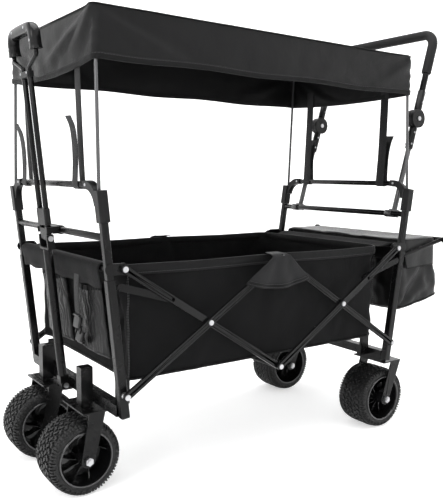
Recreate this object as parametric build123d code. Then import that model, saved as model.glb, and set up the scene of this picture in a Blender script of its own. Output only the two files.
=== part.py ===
from build123d import *
from math import atan, degrees, hypot, radians, sin
import os

# Folding wagon with a canopy, in millimetres. +X points to the push handle, +Z up, and the
# ground is Z = 0. The model is drawn about the middle of the scissor links and moved at the
# end, so that the origin lies on the ground under the middle of the whole wagon.

# ---- overall frame -------------------------------------------------------------------
half_span = 438.0          # middle of the wagon to the end frames' bottom pivots
low_pivot_z = 266.0        # height of the bottom pivots
high_pivot_z = 548.0       # height of the top pivots
leg_y = 272.0              # middle of a leg, out from the centre plane
front_lean = 0.108         # outward lean of the front legs, mm per mm of height
rear_lean = 0.147          # outward lean of the rear legs
leg_bottom_z = 212.0
lower_leg_top_z = 524.0
upper_leg_bottom_z = 275.0
front_socket_z = 649.0     # bottom of each corner socket
rear_socket_z = 653.0
socket_top_z = 717.0
upper_leg_width = 17.0
upper_leg_wall = 1.5
lower_leg_wall = 1.4
slide_gap = 0.3            # clearance around each telescoping leg
run_gap = 0.1              # radial clearance of a pin or shaft in its hole
seat_gap = 0.3             # clearance between soft or loose pieces and what holds them
tube_corner = 3.0          # corner radius of the rounded square tubes

# ---- scissor links ---------------------------------------------------------------------
link_height = 17.0
link_thick = 8.0
layer_gap = 0.6
pin_radius = 4.0
rivet_head_radius = 6.5
rivet_head_thick = 3.0
brace_pivot_share = 0.277  # brace rivet, as a share of the link from its top pivot
brace_leg_z = 508.0
brace_height = 14.0
brace_thick = 3.0

# ---- beams, floor bars -----------------------------------------------------------------
beam_depth = 24.0
beam_height = 26.0
beam_bottom_z = 212.0
cross_tube_radius = 8.0
floor_tube_x = 395.0
floor_bar_width = 12.0
floor_bar_height = 10.0
floor_bar_z = 281.0
floor_bar_reach = 15.0
floor_bar_pitch = 150.0
floor_bar_offset = 20.0
floor_pin_radius = 4.0

# ---- wheels and forks ----------------------------------------------------------------------
wheel_radius = 90.0
wheel_width = 104.0
tyre_round = 16.0
rim_radius = 64.0
rim_wall = 5.0
rim_lip = 3.0
rim_lip_width = 6.0
hub_radius = 16.0
hub_overhang = 4.4
spoke_count = 9
spoke_thick = 4.0
spoke_depth = 40.0
axle_radius = 6.0
nut_radius = 10.0
nut_thick = 8.0
fork_plate = 4.0
fork_gap = 5.0             # wheel face to fork plate
fork_leg_width = 34.0
fork_top_z = 204.0
front_track = 125.0        # middle of a front wheel, out from the centre plane
rear_track = 213.0
front_axle_x = 481.0
rear_axle_x = 437.0
rear_fork_top_x = 478.0
rear_fork_front_x = 424.0
caster_axis_x = 463.0
caster_post_width = 28.0
caster_post_top_z = 298.0
caster_cap_thick = 6.0
stem_radius = 10.0
washer_radius = 14.0
washer_thick = 2.0
fork_half_length = 30.0

# ---- upper frames ----------------------------------------------------------------------------
front_cross_z = 616.0
rear_cross_z = 643.0
front_top_z = 728.0
rear_top_z = 733.0
top_bar_radius = 7.5
socket_width = 24.0
arch_radius = 44.0
arch_thick = 18.0
arch_wide = 17.0
pole_radius = 4.0
pole_foot_inset = 5.0      # from the middle of the leg in to the foot of the pole
pole_top_inset = 23.0      # from the middle of the leg in to the top of the pole
rim_bar_radius = 6.0
bracket_thick = 2.0
bracket_height = 26.0

# ---- canopy and straps -----------------------------------------------------------------------
canopy_front_x = 492.5
canopy_rear_x = 511.0
canopy_half_width = 262.0
canopy_hem_z = 989.0
canopy_top_z = 1104.0
canopy_wall = 2.5
strap_width = 24.0
strap_thick = 2.0
strap_y = 165.0
strap_top_z = 1040.0

# ---- tub and bags ------------------------------------------------------------------------------
tub_wall = 4.0
tub_bottom_z = 288.0
tub_top_z = 553.0
tub_half_width = 268.0
tub_end_half_width = 259.0
tub_front_x = 446.0
tub_rear_x = 438.0
tub_side_front_x = 422.0
tub_side_rear_x = 418.0
mat_thick = 12.0
mat_gap = 4.0
cap_half_length = 108.0
cap_bottom_z = 478.0
cap_thick = 2.5
pocket_thick = 14.0
bag_front_x = 500.0
bag_rear_x = 660.0
bag_half_width = 257.0
bag_bottom_z = 350.0
bag_top_z = 566.0
bag_wall = 4.0
flap_thick = 4.0
flap_drop = 90.0
carrier_radius = 7.0
carrier_arm_radius = 6.0
carrier_overhang = 9.0     # bar past the middle of each arm
carrier_start_z = 520.0
carrier_stub = 8.0
carrier_clamp_height = 8.0
carrier_end_z = 560.0
carrier_cap_radius = 11.0
carrier_cap_length = 9.0

# ---- pull handle --------------------------------------------------------------------------------
pull_pivot_x = 464.0
pull_pivot_z = 222.0
pull_lean = 5.9            # degrees forward of upright
pull_tube_radius = 11.0
pull_block_low = 348.0     # distances along the handle from its pivot
pull_block_length = 36.0
pull_block_width = 56.0
pull_block_depth = 18.0
cheek_thick = 6.0
block_web = 5.0
tongue_depth = 13.0
tongue_length = 26.0
twin_pitch = 40.0
twin_radius = 6.5
twin_wall = 1.0
twin_top = 757.0
tie_low = 408.0
tie_length = 40.0
collar_length = 14.0
inner_radius = 5.2
inner_low = 490.0
grip_radius = 11.0
grip_half_width = 74.0
grip_low = 812.0
grip_top = 862.0
lug_thick = 4.0
clip_low = 389.0
clip_height = 14.0

# ---- push handle --------------------------------------------------------------------------------
push_y = 212.0
push_lean = 16.2           # degrees rearward of upright
push_tube_radius = 8.0
push_clamp_height = 22.0
disc_distance = 300.0      # along the handle from the lower cross tube
disc_radius = 28.0
disc_thick = 13.0
lower_sleeve_length = 95.0
upper_sleeve_length = 88.0
sleeve_radius = 11.5
push_bar_radius = 9.5
push_bar_reach = 275.0     # disc centre to the middle of the hand bar
push_bar_bend = 42.0
foam_radius = 14.5
foam_start = 145.0

parts = {}


# ---- shared shapes --------------------------------------------------------------------------------
def block(x_low, x_high, y_low, y_high, z_low, z_high):
    size = (x_high - x_low, y_high - y_low, z_high - z_low)
    middle = ((x_low + x_high) / 2, (y_low + y_high) / 2, (z_low + z_high) / 2)
    return Pos(*middle) * Box(*size)


def rod_y(radius, x, z, y_low, y_high):
    middle = (y_low + y_high) / 2
    return Pos(x, middle, z) * Rot(90, 0, 0) * Cylinder(radius, abs(y_high - y_low))


def rod_between(start, end, radius, wall=0):
    axis = Vector(*end) - Vector(*start)
    plane = Plane(origin=start, z_dir=axis)
    section = Circle(radius)
    if wall:
        section -= Circle(radius - wall)
    return extrude(plane * section, axis.length)


def square_tube(start, end, width, wall=0):
    axis = Vector(*end) - Vector(*start)
    plane = Plane(origin=start, x_dir=(0, 1, 0), z_dir=axis)
    section = RectangleRounded(width, width, tube_corner)
    if wall:
        inner = width - 2 * wall
        section -= RectangleRounded(inner, inner, max(tube_corner - wall, 0.5))
    return extrude(plane * section, axis.length)


def bent_tube(points, radius, bend, wall=0):
    path = FilletPolyline(*points, radius=bend)
    plane = Plane(origin=path @ 0, z_dir=path % 0)
    section = Circle(radius)
    if wall:
        section -= Circle(radius - wall)
    return sweep(plane * section, path=path)


def both_sides(shape):
    return [shape, mirror(shape, about=Plane.XZ)]


def save(name, shapes):
    solids = shapes if isinstance(shapes, list) else [shapes]
    parts.setdefault(name, []).extend(solids)


# ---- places that several pieces share -------------------------------------------------------------
lower_leg_width = upper_leg_width + 2 * (slide_gap + lower_leg_wall)
leg_face_y = leg_y + lower_leg_width / 2
inner_layer = (leg_face_y + layer_gap, leg_face_y + layer_gap + link_thick)
outer_layer = (inner_layer[1] + layer_gap, inner_layer[1] + layer_gap + link_thick)
link_length = hypot(half_span, high_pivot_z - low_pivot_z)
mid_z = (low_pivot_z + high_pivot_z) / 2
front = {"name": "front", "way": -1, "lean": front_lean, "cross_z": front_cross_z, "top_z": front_top_z,
         "socket_z": front_socket_z}
rear = {"name": "rear", "way": 1, "lean": rear_lean, "cross_z": rear_cross_z, "top_z": rear_top_z,
        "socket_z": rear_socket_z}


def leg_x(end, z):
    return end["way"] * (half_span + end["lean"] * (z - low_pivot_z))


def beam_x(end):
    return leg_x(end, beam_bottom_z + beam_height / 2) + end["way"] * 1.5


# ---- wheels ---------------------------------------------------------------------------------------
def wheel(name, x, y):
    half = wheel_width / 2
    lip_radius = rim_radius + rim_lip
    tread = Rectangle(wheel_radius - rim_radius, wheel_width)
    tread = Pos((wheel_radius + rim_radius) / 2, 0) * tread
    tread = fillet(tread.vertices().group_by(Axis.X)[-1], tyre_round)
    for side in (-1, 1):
        lip_room = Rectangle(2 * (rim_lip + seat_gap), 2 * (rim_lip_width + seat_gap))
        tread -= Pos(rim_radius, side * half) * lip_room
    tread -= Pos(rim_radius, 0) * Rectangle(2 * seat_gap, wheel_width)
    tyre = revolve(tread, Axis.Y)
    barrel = Pos(rim_radius - rim_wall / 2, 0) * Rectangle(rim_wall, wheel_width)
    for side in (-1, 1):
        lip = Rectangle(lip_radius - rim_radius + rim_wall, rim_lip_width)
        lip_middle = (lip_radius + rim_radius - rim_wall) / 2
        barrel += Pos(lip_middle, side * (half - rim_lip_width / 2)) * lip
    hub_bore = axle_radius + run_gap
    hub_half = half + hub_overhang
    barrel += Pos((hub_radius + hub_bore) / 2, 0) * Rectangle(hub_radius - hub_bore, 2 * hub_half)
    rim = revolve(barrel, Axis.Y)
    spoke_length = rim_radius - rim_wall - hub_radius + 2
    spoke_middle = (hub_radius + rim_radius - rim_wall) / 2
    spoke = Pos(spoke_middle, 0, 0) * Box(spoke_length, spoke_depth, spoke_thick)
    for number in range(spoke_count):
        rim += Rot(0, number * 360 / spoke_count, 0) * spoke
    place = Pos(x, y, wheel_radius)
    save(name + "_tyre", place * tyre)
    save(name + "_rim", place * rim)


def fork_legs(axle_x, top_x):
    """Two side plates that run from the top plate down to the axle, about the wheel's middle."""
    foot = Pos(axle_x, wheel_radius) * Circle(fork_leg_width / 2)
    top_low = top_x - fork_leg_width * 0.6
    top_high = top_x + fork_leg_width * 0.6
    web = Polyline(
        (top_low, fork_top_z),
        (top_high, fork_top_z),
        (axle_x + fork_leg_width / 2, wheel_radius),
        (axle_x - fork_leg_width / 2, wheel_radius),
        close=True,
    )
    plate = make_face(web) + foot - Pos(axle_x, wheel_radius) * Circle(axle_radius + run_gap)
    inner = wheel_width / 2 + fork_gap
    legs = []
    for low in (inner, -inner - fork_plate):
        legs.append(Pos(0, low + fork_plate, 0) * extrude(Plane.XZ * plate, fork_plate))
    return legs


def axle_bolt(x, y):
    """A through bolt with a round head outside one fork plate and a nut outside the other."""
    reach = wheel_width / 2 + fork_gap + fork_plate
    shank = rod_y(axle_radius, x, wheel_radius, y - reach - nut_thick, y + reach + nut_thick)
    for side in (-1, 1):
        face = y + side * (reach + run_gap)
        hexagon = Plane(origin=(x, face, wheel_radius), z_dir=(0, side, 0)) * RegularPolygon(nut_radius, 6)
        shank += extrude(hexagon, nut_thick)
        shank += rod_y(axle_radius, x, wheel_radius, face, face + side * (nut_thick + 3))
    return shank


def front_casters():
    for side, hand in ((-1, "right"), (1, "left")):
        y = side * front_track
        axis_x = -caster_axis_x
        half = wheel_width / 2 + fork_gap + fork_plate
        fork = block(axis_x - fork_half_length, axis_x + fork_half_length, -half, half,
                     fork_top_z - fork_plate, fork_top_z)
        for plate in fork_legs(-front_axle_x, axis_x + 6):
            fork += plate
        stem_top = caster_post_top_z - caster_cap_thick - 1
        fork += Pos(axis_x, 0, fork_top_z + washer_thick / 2) * Cylinder(washer_radius, washer_thick)
        fork += Pos(axis_x, 0, (fork_top_z + stem_top) / 2) * Cylinder(stem_radius, stem_top - fork_top_z)
        save(f"front_{hand}_fork", Pos(0, y, 0) * fork)
        save(f"front_{hand}_axle_bolt", axle_bolt(-front_axle_x, y))
        wheel(f"front_{hand}", -front_axle_x, y)


def rear_wheels():
    forks = []
    bolts = []
    for side, hand in ((-1, "right"), (1, "left")):
        y = side * rear_track
        half = wheel_width / 2 + fork_gap + fork_plate
        high_x = rear_fork_top_x + fork_leg_width * 0.6
        fork = block(rear_fork_front_x, high_x, -half, half, fork_top_z - fork_plate, fork_top_z)
        for plate in fork_legs(rear_axle_x, rear_fork_top_x):
            fork += plate
        pad_half = leg_y - lower_leg_width / 2 - rear_track
        pad = block(rear_fork_front_x, beam_x(rear) + beam_depth / 2, -pad_half, pad_half,
                    fork_top_z, beam_bottom_z)
        forks.append(Pos(0, y, 0) * (fork + pad))
        bolts.append(axle_bolt(rear_axle_x, y))
        wheel(f"rear_{hand}", rear_axle_x, y)
    save("rear_forks", forks)
    save("rear_frame_bolts", bolts)


# ---- lower end frames -------------------------------------------------------------------------------
def lower_frame(end):
    way = end["way"]
    name = end["name"]
    foot = (leg_x(end, leg_bottom_z), leg_y, leg_bottom_z)
    top = (leg_x(end, lower_leg_top_z), leg_y, lower_leg_top_z)
    leg = square_tube(foot, top, lower_leg_width, lower_leg_wall)
    leg -= rod_y(pin_radius, leg_x(end, low_pivot_z), low_pivot_z, leg_y, leg_face_y + 2)
    x = beam_x(end)
    beam_half = leg_y - lower_leg_width / 2
    beam = block(x - beam_depth / 2, x + beam_depth / 2, -beam_half, beam_half,
                 beam_bottom_z, beam_bottom_z + beam_height)
    hollow = beam_depth - 2 * lower_leg_wall
    beam -= block(x - hollow / 2, x + hollow / 2, -beam_half - 1, beam_half + 1,
                  beam_bottom_z + lower_leg_wall, beam_bottom_z + beam_height - lower_leg_wall)
    save(name + "_lower_frame", both_sides(leg))
    save(name + "_lower_frame", beam)
    ears = []
    tube_x = way * floor_tube_x
    for side in (-1, 1):
        ear_y = side * (floor_bar_pitch + 60)
        near_x = x - way * (beam_depth / 2)
        ear = block(min(near_x, tube_x - way * 7), max(near_x, tube_x - way * 7), ear_y - 3, ear_y + 3,
                    beam_bottom_z + 6, floor_bar_z + 7)
        ear += rod_y(7, tube_x, floor_bar_z, ear_y - 3, ear_y + 3)
        ear += block(min(tube_x, tube_x - way * 8), max(tube_x, tube_x - way * 8), ear_y - 3, ear_y + 3,
                     floor_bar_z - 7, floor_bar_z + 7)
        ear -= rod_y(floor_pin_radius + run_gap, tube_x, floor_bar_z, ear_y - 4, ear_y + 4)
        ears.append(ear)
    save(name + "_lower_frame", ears)


def caster_posts():
    posts = []
    for side in (-1, 1):
        y = side * front_track
        half = caster_post_width / 2
        post = block(-caster_axis_x - half, beam_x(front) - beam_depth / 2, y - half, y + half,
                     fork_top_z + washer_thick + run_gap, caster_post_top_z)
        bore_top = caster_post_top_z - caster_cap_thick
        bore = Cylinder(stem_radius + run_gap, bore_top - fork_top_z)
        post -= Pos(-caster_axis_x, y, (bore_top + fork_top_z) / 2) * bore
        posts.append(post)
    save("front_lower_frame", posts)


def floor_bars(end, offset):
    """A hinged comb: a cross tube on the floor ears, and bars that reach to the middle."""
    way = end["way"]
    tube_x = way * floor_tube_x
    tube_half = floor_bar_pitch + 60 + 3 + 4
    comb = rod_y(floor_pin_radius, tube_x, floor_bar_z, -tube_half, tube_half)
    for number in (-1, 0, 1):
        y = number * floor_bar_pitch + offset
        bar_y = (y - floor_bar_width / 2, y + floor_bar_width / 2)
        end_x = way * floor_bar_reach
        comb += block(min(tube_x, end_x), max(tube_x, end_x), bar_y[0], bar_y[1],
                      floor_bar_z - floor_bar_height / 2, floor_bar_z + floor_bar_height / 2)
    save(end["name"] + "_floor_bars", comb)


# ---- scissor links -----------------------------------------------------------------------------------
def link(start_x, start_z, end_x, end_z, layer, holes):
    """A flat link with round ends in the near or far layer, drilled at shares of its length."""
    run_x = end_x - start_x
    run_z = end_z - start_z
    length = hypot(run_x, run_z)
    slot = SlotCenterToCenter(length, link_height)
    for share, radius in holes:
        slot -= Pos((share - 0.5) * length, 0) * Circle(radius)
    turn = degrees(atan(run_z / run_x))
    if run_x < 0:
        turn += 180
    flat = Pos((start_x + end_x) / 2, (start_z + end_z) / 2) * Rot(0, 0, turn) * slot
    return Pos(0, layer[1], 0) * extrude(Plane.XZ * flat, layer[1] - layer[0])


def rivet(x, z, y_low, y_high, head_low=False):
    """A round rivet along Y with its head on the outer side, and on the inner side if asked."""
    pin = rod_y(pin_radius, x, z, y_low, y_high)
    pin += rod_y(rivet_head_radius, x, z, y_high, y_high + rivet_head_thick)
    if head_low:
        pin += rod_y(rivet_head_radius, x, z, y_low - rivet_head_thick, y_low)
    return pin


def scissor_links():
    fit_hole = pin_radius + run_gap
    brace = brace_pivot_share
    top = high_pivot_z
    low = low_pivot_z
    high_holes = ((0, fit_hole), (brace, fit_hole), (0.5, fit_hole), (1, fit_hole))
    low_holes = ((0, fit_hole), (0.5, fit_hole), (1, fit_hole))
    front_high = link(-half_span, top, 0, low, inner_layer, high_holes)
    front_low = link(-half_span, low, 0, top, outer_layer, low_holes)
    rear_low = link(half_span, low, 0, top, inner_layer, low_holes)
    rear_high = link(half_span, top, 0, low, outer_layer, high_holes)
    save("front_high_links", both_sides(front_high))
    save("front_low_links", both_sides(front_low))
    save("rear_low_links", both_sides(rear_low))
    save("rear_high_links", both_sides(rear_high))
    cross = rod_y(cross_tube_radius, 0, low, -inner_layer[0], inner_layer[0])
    cross -= rod_y(cross_tube_radius - 1.5, 0, low, -inner_layer[0] - 1, inner_layer[0] + 1)
    save("front_high_links", cross)
    outer_face = outer_layer[1] + run_gap
    middle_x = half_span / 2
    save("rear_low_rivets", both_sides(rivet(0, top, inner_layer[0], outer_face)))
    save("front_high_rivets", both_sides(rivet(0, low, inner_layer[0], outer_face)))
    save("front_high_rivets", both_sides(rivet(-middle_x, mid_z, inner_layer[0], outer_face)))
    save("rear_low_rivets", both_sides(rivet(middle_x, mid_z, inner_layer[0], outer_face)))
    front_top = rivet(-half_span, top, inner_layer[0], inner_layer[1] + run_gap)
    rear_top = rivet(half_span, top, outer_layer[0], outer_face)
    save("front_high_rivets", both_sides(front_top))
    save("rear_high_rivets", both_sides(rear_top))
    leg_inside = leg_face_y - lower_leg_wall + 0.05
    front_foot = rivet(leg_x(front, low), low, leg_inside, outer_face)
    front_foot += rod_y(rivet_head_radius + 1, -half_span, low, leg_face_y, outer_layer[0] - run_gap)
    rear_foot = rivet(leg_x(rear, low), low, leg_inside, inner_layer[1] + run_gap)
    save("front_frame_pins", both_sides(front_foot))
    save("rear_frame_bolts", both_sides(rear_foot))


def brace_points(end):
    link_share = brace_pivot_share
    link_point_x = end["way"] * half_span * (1 - link_share)
    link_point_z = high_pivot_z - link_share * (high_pivot_z - low_pivot_z)
    leg_point_x = leg_x(end, brace_leg_z) - end["way"] * lower_leg_width / 2
    return leg_point_x, link_point_x, link_point_z


def corner_braces(end):
    """A short strap that runs from the leg to the high link, inboard of the link."""
    leg_point_x, link_point_x, link_point_z = brace_points(end)
    y_high = leg_face_y - 0.2
    layer = (y_high - brace_thick, y_high)
    pivot_x = leg_point_x - end["way"] * 10
    holes = ((0, pin_radius + run_gap),)
    slot_layer = link(pivot_x, brace_leg_z, link_point_x, link_point_z, layer, holes)
    save(end["name"] + "_braces", both_sides(slot_layer))
    tab = block(min(leg_point_x, pivot_x), max(leg_point_x, pivot_x), layer[0] - 3.3, layer[0] - 0.3,
                brace_leg_z - 8, brace_leg_z + 8)
    tab += rod_y(8, pivot_x, brace_leg_z, layer[0] - 3.3, layer[0] - 0.3)
    tab += rod_y(pin_radius, pivot_x, brace_leg_z, layer[0] - 0.3, layer[1] + 0.1)
    tab -= square_tube((leg_x(end, leg_bottom_z), leg_y, leg_bottom_z),
                       (leg_x(end, lower_leg_top_z), leg_y, lower_leg_top_z), lower_leg_width)
    save(end["name"] + "_lower_frame", both_sides(tab))


# ---- upper end frames --------------------------------------------------------------------------------
def upper_frame(end):
    way = end["way"]
    name = end["name"]
    low_point = (leg_x(end, upper_leg_bottom_z), leg_y, upper_leg_bottom_z)
    leg_top_z = socket_top_z - 16
    high_point = (leg_x(end, leg_top_z), leg_y, leg_top_z)
    leg = square_tube(low_point, high_point, upper_leg_width, upper_leg_wall)
    save(name + "_upper_frame", both_sides(leg))

    inner_face = leg_y - upper_leg_width / 2
    cross_x = leg_x(end, end["cross_z"])
    save(name + "_upper_frame", rod_y(cross_tube_radius, cross_x, end["cross_z"], -inner_face, inner_face))

    # Corner socket: a sleeve over the leg's top, with an arch that curves in to the top bar.
    socket_low = (leg_x(end, end["socket_z"]), leg_y, end["socket_z"])
    socket_high = (leg_x(end, socket_top_z), leg_y, socket_top_z)
    socket = square_tube(socket_low, socket_high, socket_width)
    bore_low = (leg_x(end, end["socket_z"] - 1), leg_y, end["socket_z"] - 1)
    bore_high = (leg_x(end, leg_top_z + 0.2), leg_y, leg_top_z + 0.2)
    socket -= square_tube(bore_low, bore_high, upper_leg_width + 0.2)
    bar_x = leg_x(end, end["top_z"])
    arch_end_y = leg_y - socket_width / 2 - arch_radius
    arch_plane = Plane(origin=(bar_x, 0, end["top_z"]), x_dir=(0, 1, 0),
                       z_dir=(1, 0, -way * end["lean"]))
    ring = Circle(arch_radius + arch_thick / 2) - Circle(arch_radius - arch_thick / 2)
    outline = Pos(arch_end_y, -arch_radius) * ring
    outline &= Pos(arch_end_y + 100, -arch_radius + 100) * Rectangle(200, 200)
    outline &= Pos(leg_y - socket_width / 2 - 100, 0) * Rectangle(200.02, 300)
    outline += Pos(arch_end_y - 6, 0) * Rectangle(12, arch_thick)
    arch = extrude(arch_plane * outline, arch_wide / 2, both=True)
    bar_half = arch_end_y + 8
    bar = rod_y(top_bar_radius, bar_x, end["top_z"], -bar_half, bar_half)
    pole_low = (leg_x(end, socket_top_z), leg_y - pole_foot_inset, leg_top_z + 1)
    pole_high = (way * ((canopy_front_x if way < 0 else canopy_rear_x) - canopy_wall - pole_radius - 1),
                 leg_y - pole_top_inset, canopy_top_z - canopy_wall - 1)
    pole = rod_between(pole_low, pole_high, pole_radius)
    socket = socket + arch - bar - rod_between(pole_low, pole_high, pole_radius + 0.05)
    save(name + "_corner_sockets", both_sides(socket))
    save(name + "_top_bar", bar)
    save(name + "_canopy_poles", both_sides(pole))

    # Pivot bracket: a plate from the upper leg to the top pivot, and the rim bar between the legs.
    plate_x = leg_x(end, high_pivot_z)
    pivot_x = way * half_span
    plate_y = leg_y + upper_leg_width / 2
    bracket = block(min(plate_x, pivot_x), max(plate_x, pivot_x), plate_y, plate_y + bracket_thick,
                    high_pivot_z - bracket_height / 2, high_pivot_z + bracket_height / 2)
    bracket += rod_y(bracket_height / 2, pivot_x, high_pivot_z, plate_y, plate_y + bracket_thick)
    bracket += rod_y(bracket_height / 2, plate_x, high_pivot_z, plate_y, plate_y + bracket_thick)
    save(name + "_upper_frame", both_sides(bracket))
    save(name + "_upper_frame", rod_y(rim_bar_radius, plate_x, high_pivot_z, -inner_face, inner_face))

    strap = rod_y(top_bar_radius + seat_gap + strap_thick, bar_x, end["top_z"],
                  strap_y - strap_width / 2, strap_y + strap_width / 2)
    strap += block(bar_x - strap_thick / 2, bar_x + strap_thick / 2,
                   strap_y - strap_width / 2, strap_y + strap_width / 2, end["top_z"], strap_top_z)
    strap -= rod_y(top_bar_radius + seat_gap, bar_x, end["top_z"], 0, leg_y)
    save(name + "_straps", both_sides(strap))


# ---- soft goods --------------------------------------------------------------------------------------
def open_box(x_low, x_high, half_width, z_low, z_high, wall):
    shell = block(x_low, x_high, -half_width, half_width, z_low, z_high)
    return shell - block(x_low + wall, x_high - wall, wall - half_width, half_width - wall,
                         z_low + wall, z_high + 1)


def soft_goods():
    canopy = block(-canopy_front_x, canopy_rear_x, -canopy_half_width, canopy_half_width,
                   canopy_hem_z, canopy_top_z)
    inner = canopy_half_width - canopy_wall
    canopy -= block(-canopy_front_x + canopy_wall, canopy_rear_x - canopy_wall, -inner, inner,
                    canopy_hem_z - 1, canopy_top_z - canopy_wall)
    save("canopy", canopy)

    tub = block(-tub_side_front_x, tub_side_rear_x, -tub_half_width, tub_half_width,
                tub_bottom_z, tub_top_z)
    tub += block(-tub_front_x, tub_rear_x, -tub_end_half_width, tub_end_half_width,
                 tub_bottom_z, tub_top_z)
    floor_z = tub_bottom_z + tub_wall
    tub -= block(tub_wall - tub_side_front_x, tub_side_rear_x - tub_wall,
                 tub_wall - tub_half_width, tub_half_width - tub_wall, floor_z, tub_top_z + 1)
    tub -= block(tub_wall - tub_front_x, tub_rear_x - tub_wall,
                 tub_wall - tub_end_half_width, tub_end_half_width - tub_wall, floor_z, tub_top_z + 1)
    save("tub", tub)
    mat_half = tub_end_half_width - tub_wall - mat_gap
    save("floor_mat", block(tub_wall + mat_gap - tub_front_x, tub_rear_x - tub_wall - mat_gap,
                            -mat_half, mat_half, floor_z + seat_gap, floor_z + seat_gap + mat_thick))

    cap_low = outer_layer[1] + rivet_head_thick + 0.6
    rise = high_pivot_z + link_height / 2 + 3
    outline = Polyline(
        (-16, rise),
        (16, rise),
        (cap_half_length * 0.9, cap_bottom_z + 12),
        (0, cap_bottom_z - 8),
        (-cap_half_length, cap_bottom_z + 12),
        close=True,
    )
    cap = Pos(0, cap_low + cap_thick, 0) * extrude(Plane.XZ * make_face(outline), cap_thick)
    cap += block(-16, 16, tub_half_width - 0.5, cap_low + cap_thick, rise - cap_thick, rise)
    save("side_caps", both_sides(cap))

    pocket_low = -tub_front_x - seat_gap - pocket_thick
    save("front_pocket", block(pocket_low, -tub_front_x - seat_gap, -185, 185, 320, 500))

    bag = open_box(bag_front_x, bag_rear_x, bag_half_width, bag_bottom_z, bag_top_z, bag_wall)
    save("rear_bag", bag)
    inside = bag_half_width + seat_gap
    outside = inside + flap_thick
    hood = block(bag_front_x, bag_rear_x + seat_gap + flap_thick, -outside, outside,
                 bag_top_z - flap_drop, bag_top_z + seat_gap + flap_thick)
    hood -= block(bag_front_x - 1, bag_rear_x + seat_gap, -inside, inside,
                  bag_top_z - flap_drop - 1, bag_top_z + seat_gap)
    save("bag_flap", hood)


def bag_carrier():
    """A tube loop on two leg clamps, whose bar carries the bag's rear edge, with a cap on each end."""
    start_x = leg_x(rear, carrier_start_z) + upper_leg_width / 2 + carrier_stub
    end_x = bag_rear_x + 2 * seat_gap + flap_thick + carrier_radius
    bar_half = leg_y + carrier_overhang
    carrier = rod_y(carrier_radius, end_x, carrier_end_z, -bar_half, bar_half)
    low_z = lower_leg_top_z + 1
    high_z = low_z + carrier_clamp_height
    for side in (-1, 1):
        y = side * leg_y
        low_end = (start_x, y, carrier_start_z)
        carrier += rod_between(low_end, (end_x, y, carrier_end_z), carrier_arm_radius)
        clamp = square_tube((leg_x(rear, low_z), y, low_z), (leg_x(rear, high_z), y, high_z),
                            upper_leg_width + 6)
        clamp -= square_tube((leg_x(rear, low_z - 1), y, low_z - 1),
                             (leg_x(rear, high_z + 1), y, high_z + 1), upper_leg_width + 0.1)
        stub_x = leg_x(rear, high_z) + upper_leg_width / 2 + 2
        clamp += block(stub_x, start_x + 4, y - 5, y + 5, low_z + 1, high_z - 1)
        carrier += clamp
    save("bag_carrier", carrier)
    face = bar_half + run_gap
    save("bag_carrier", both_sides(rod_y(carrier_cap_radius, end_x, carrier_end_z, face,
                                         face + carrier_cap_length)))


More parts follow.
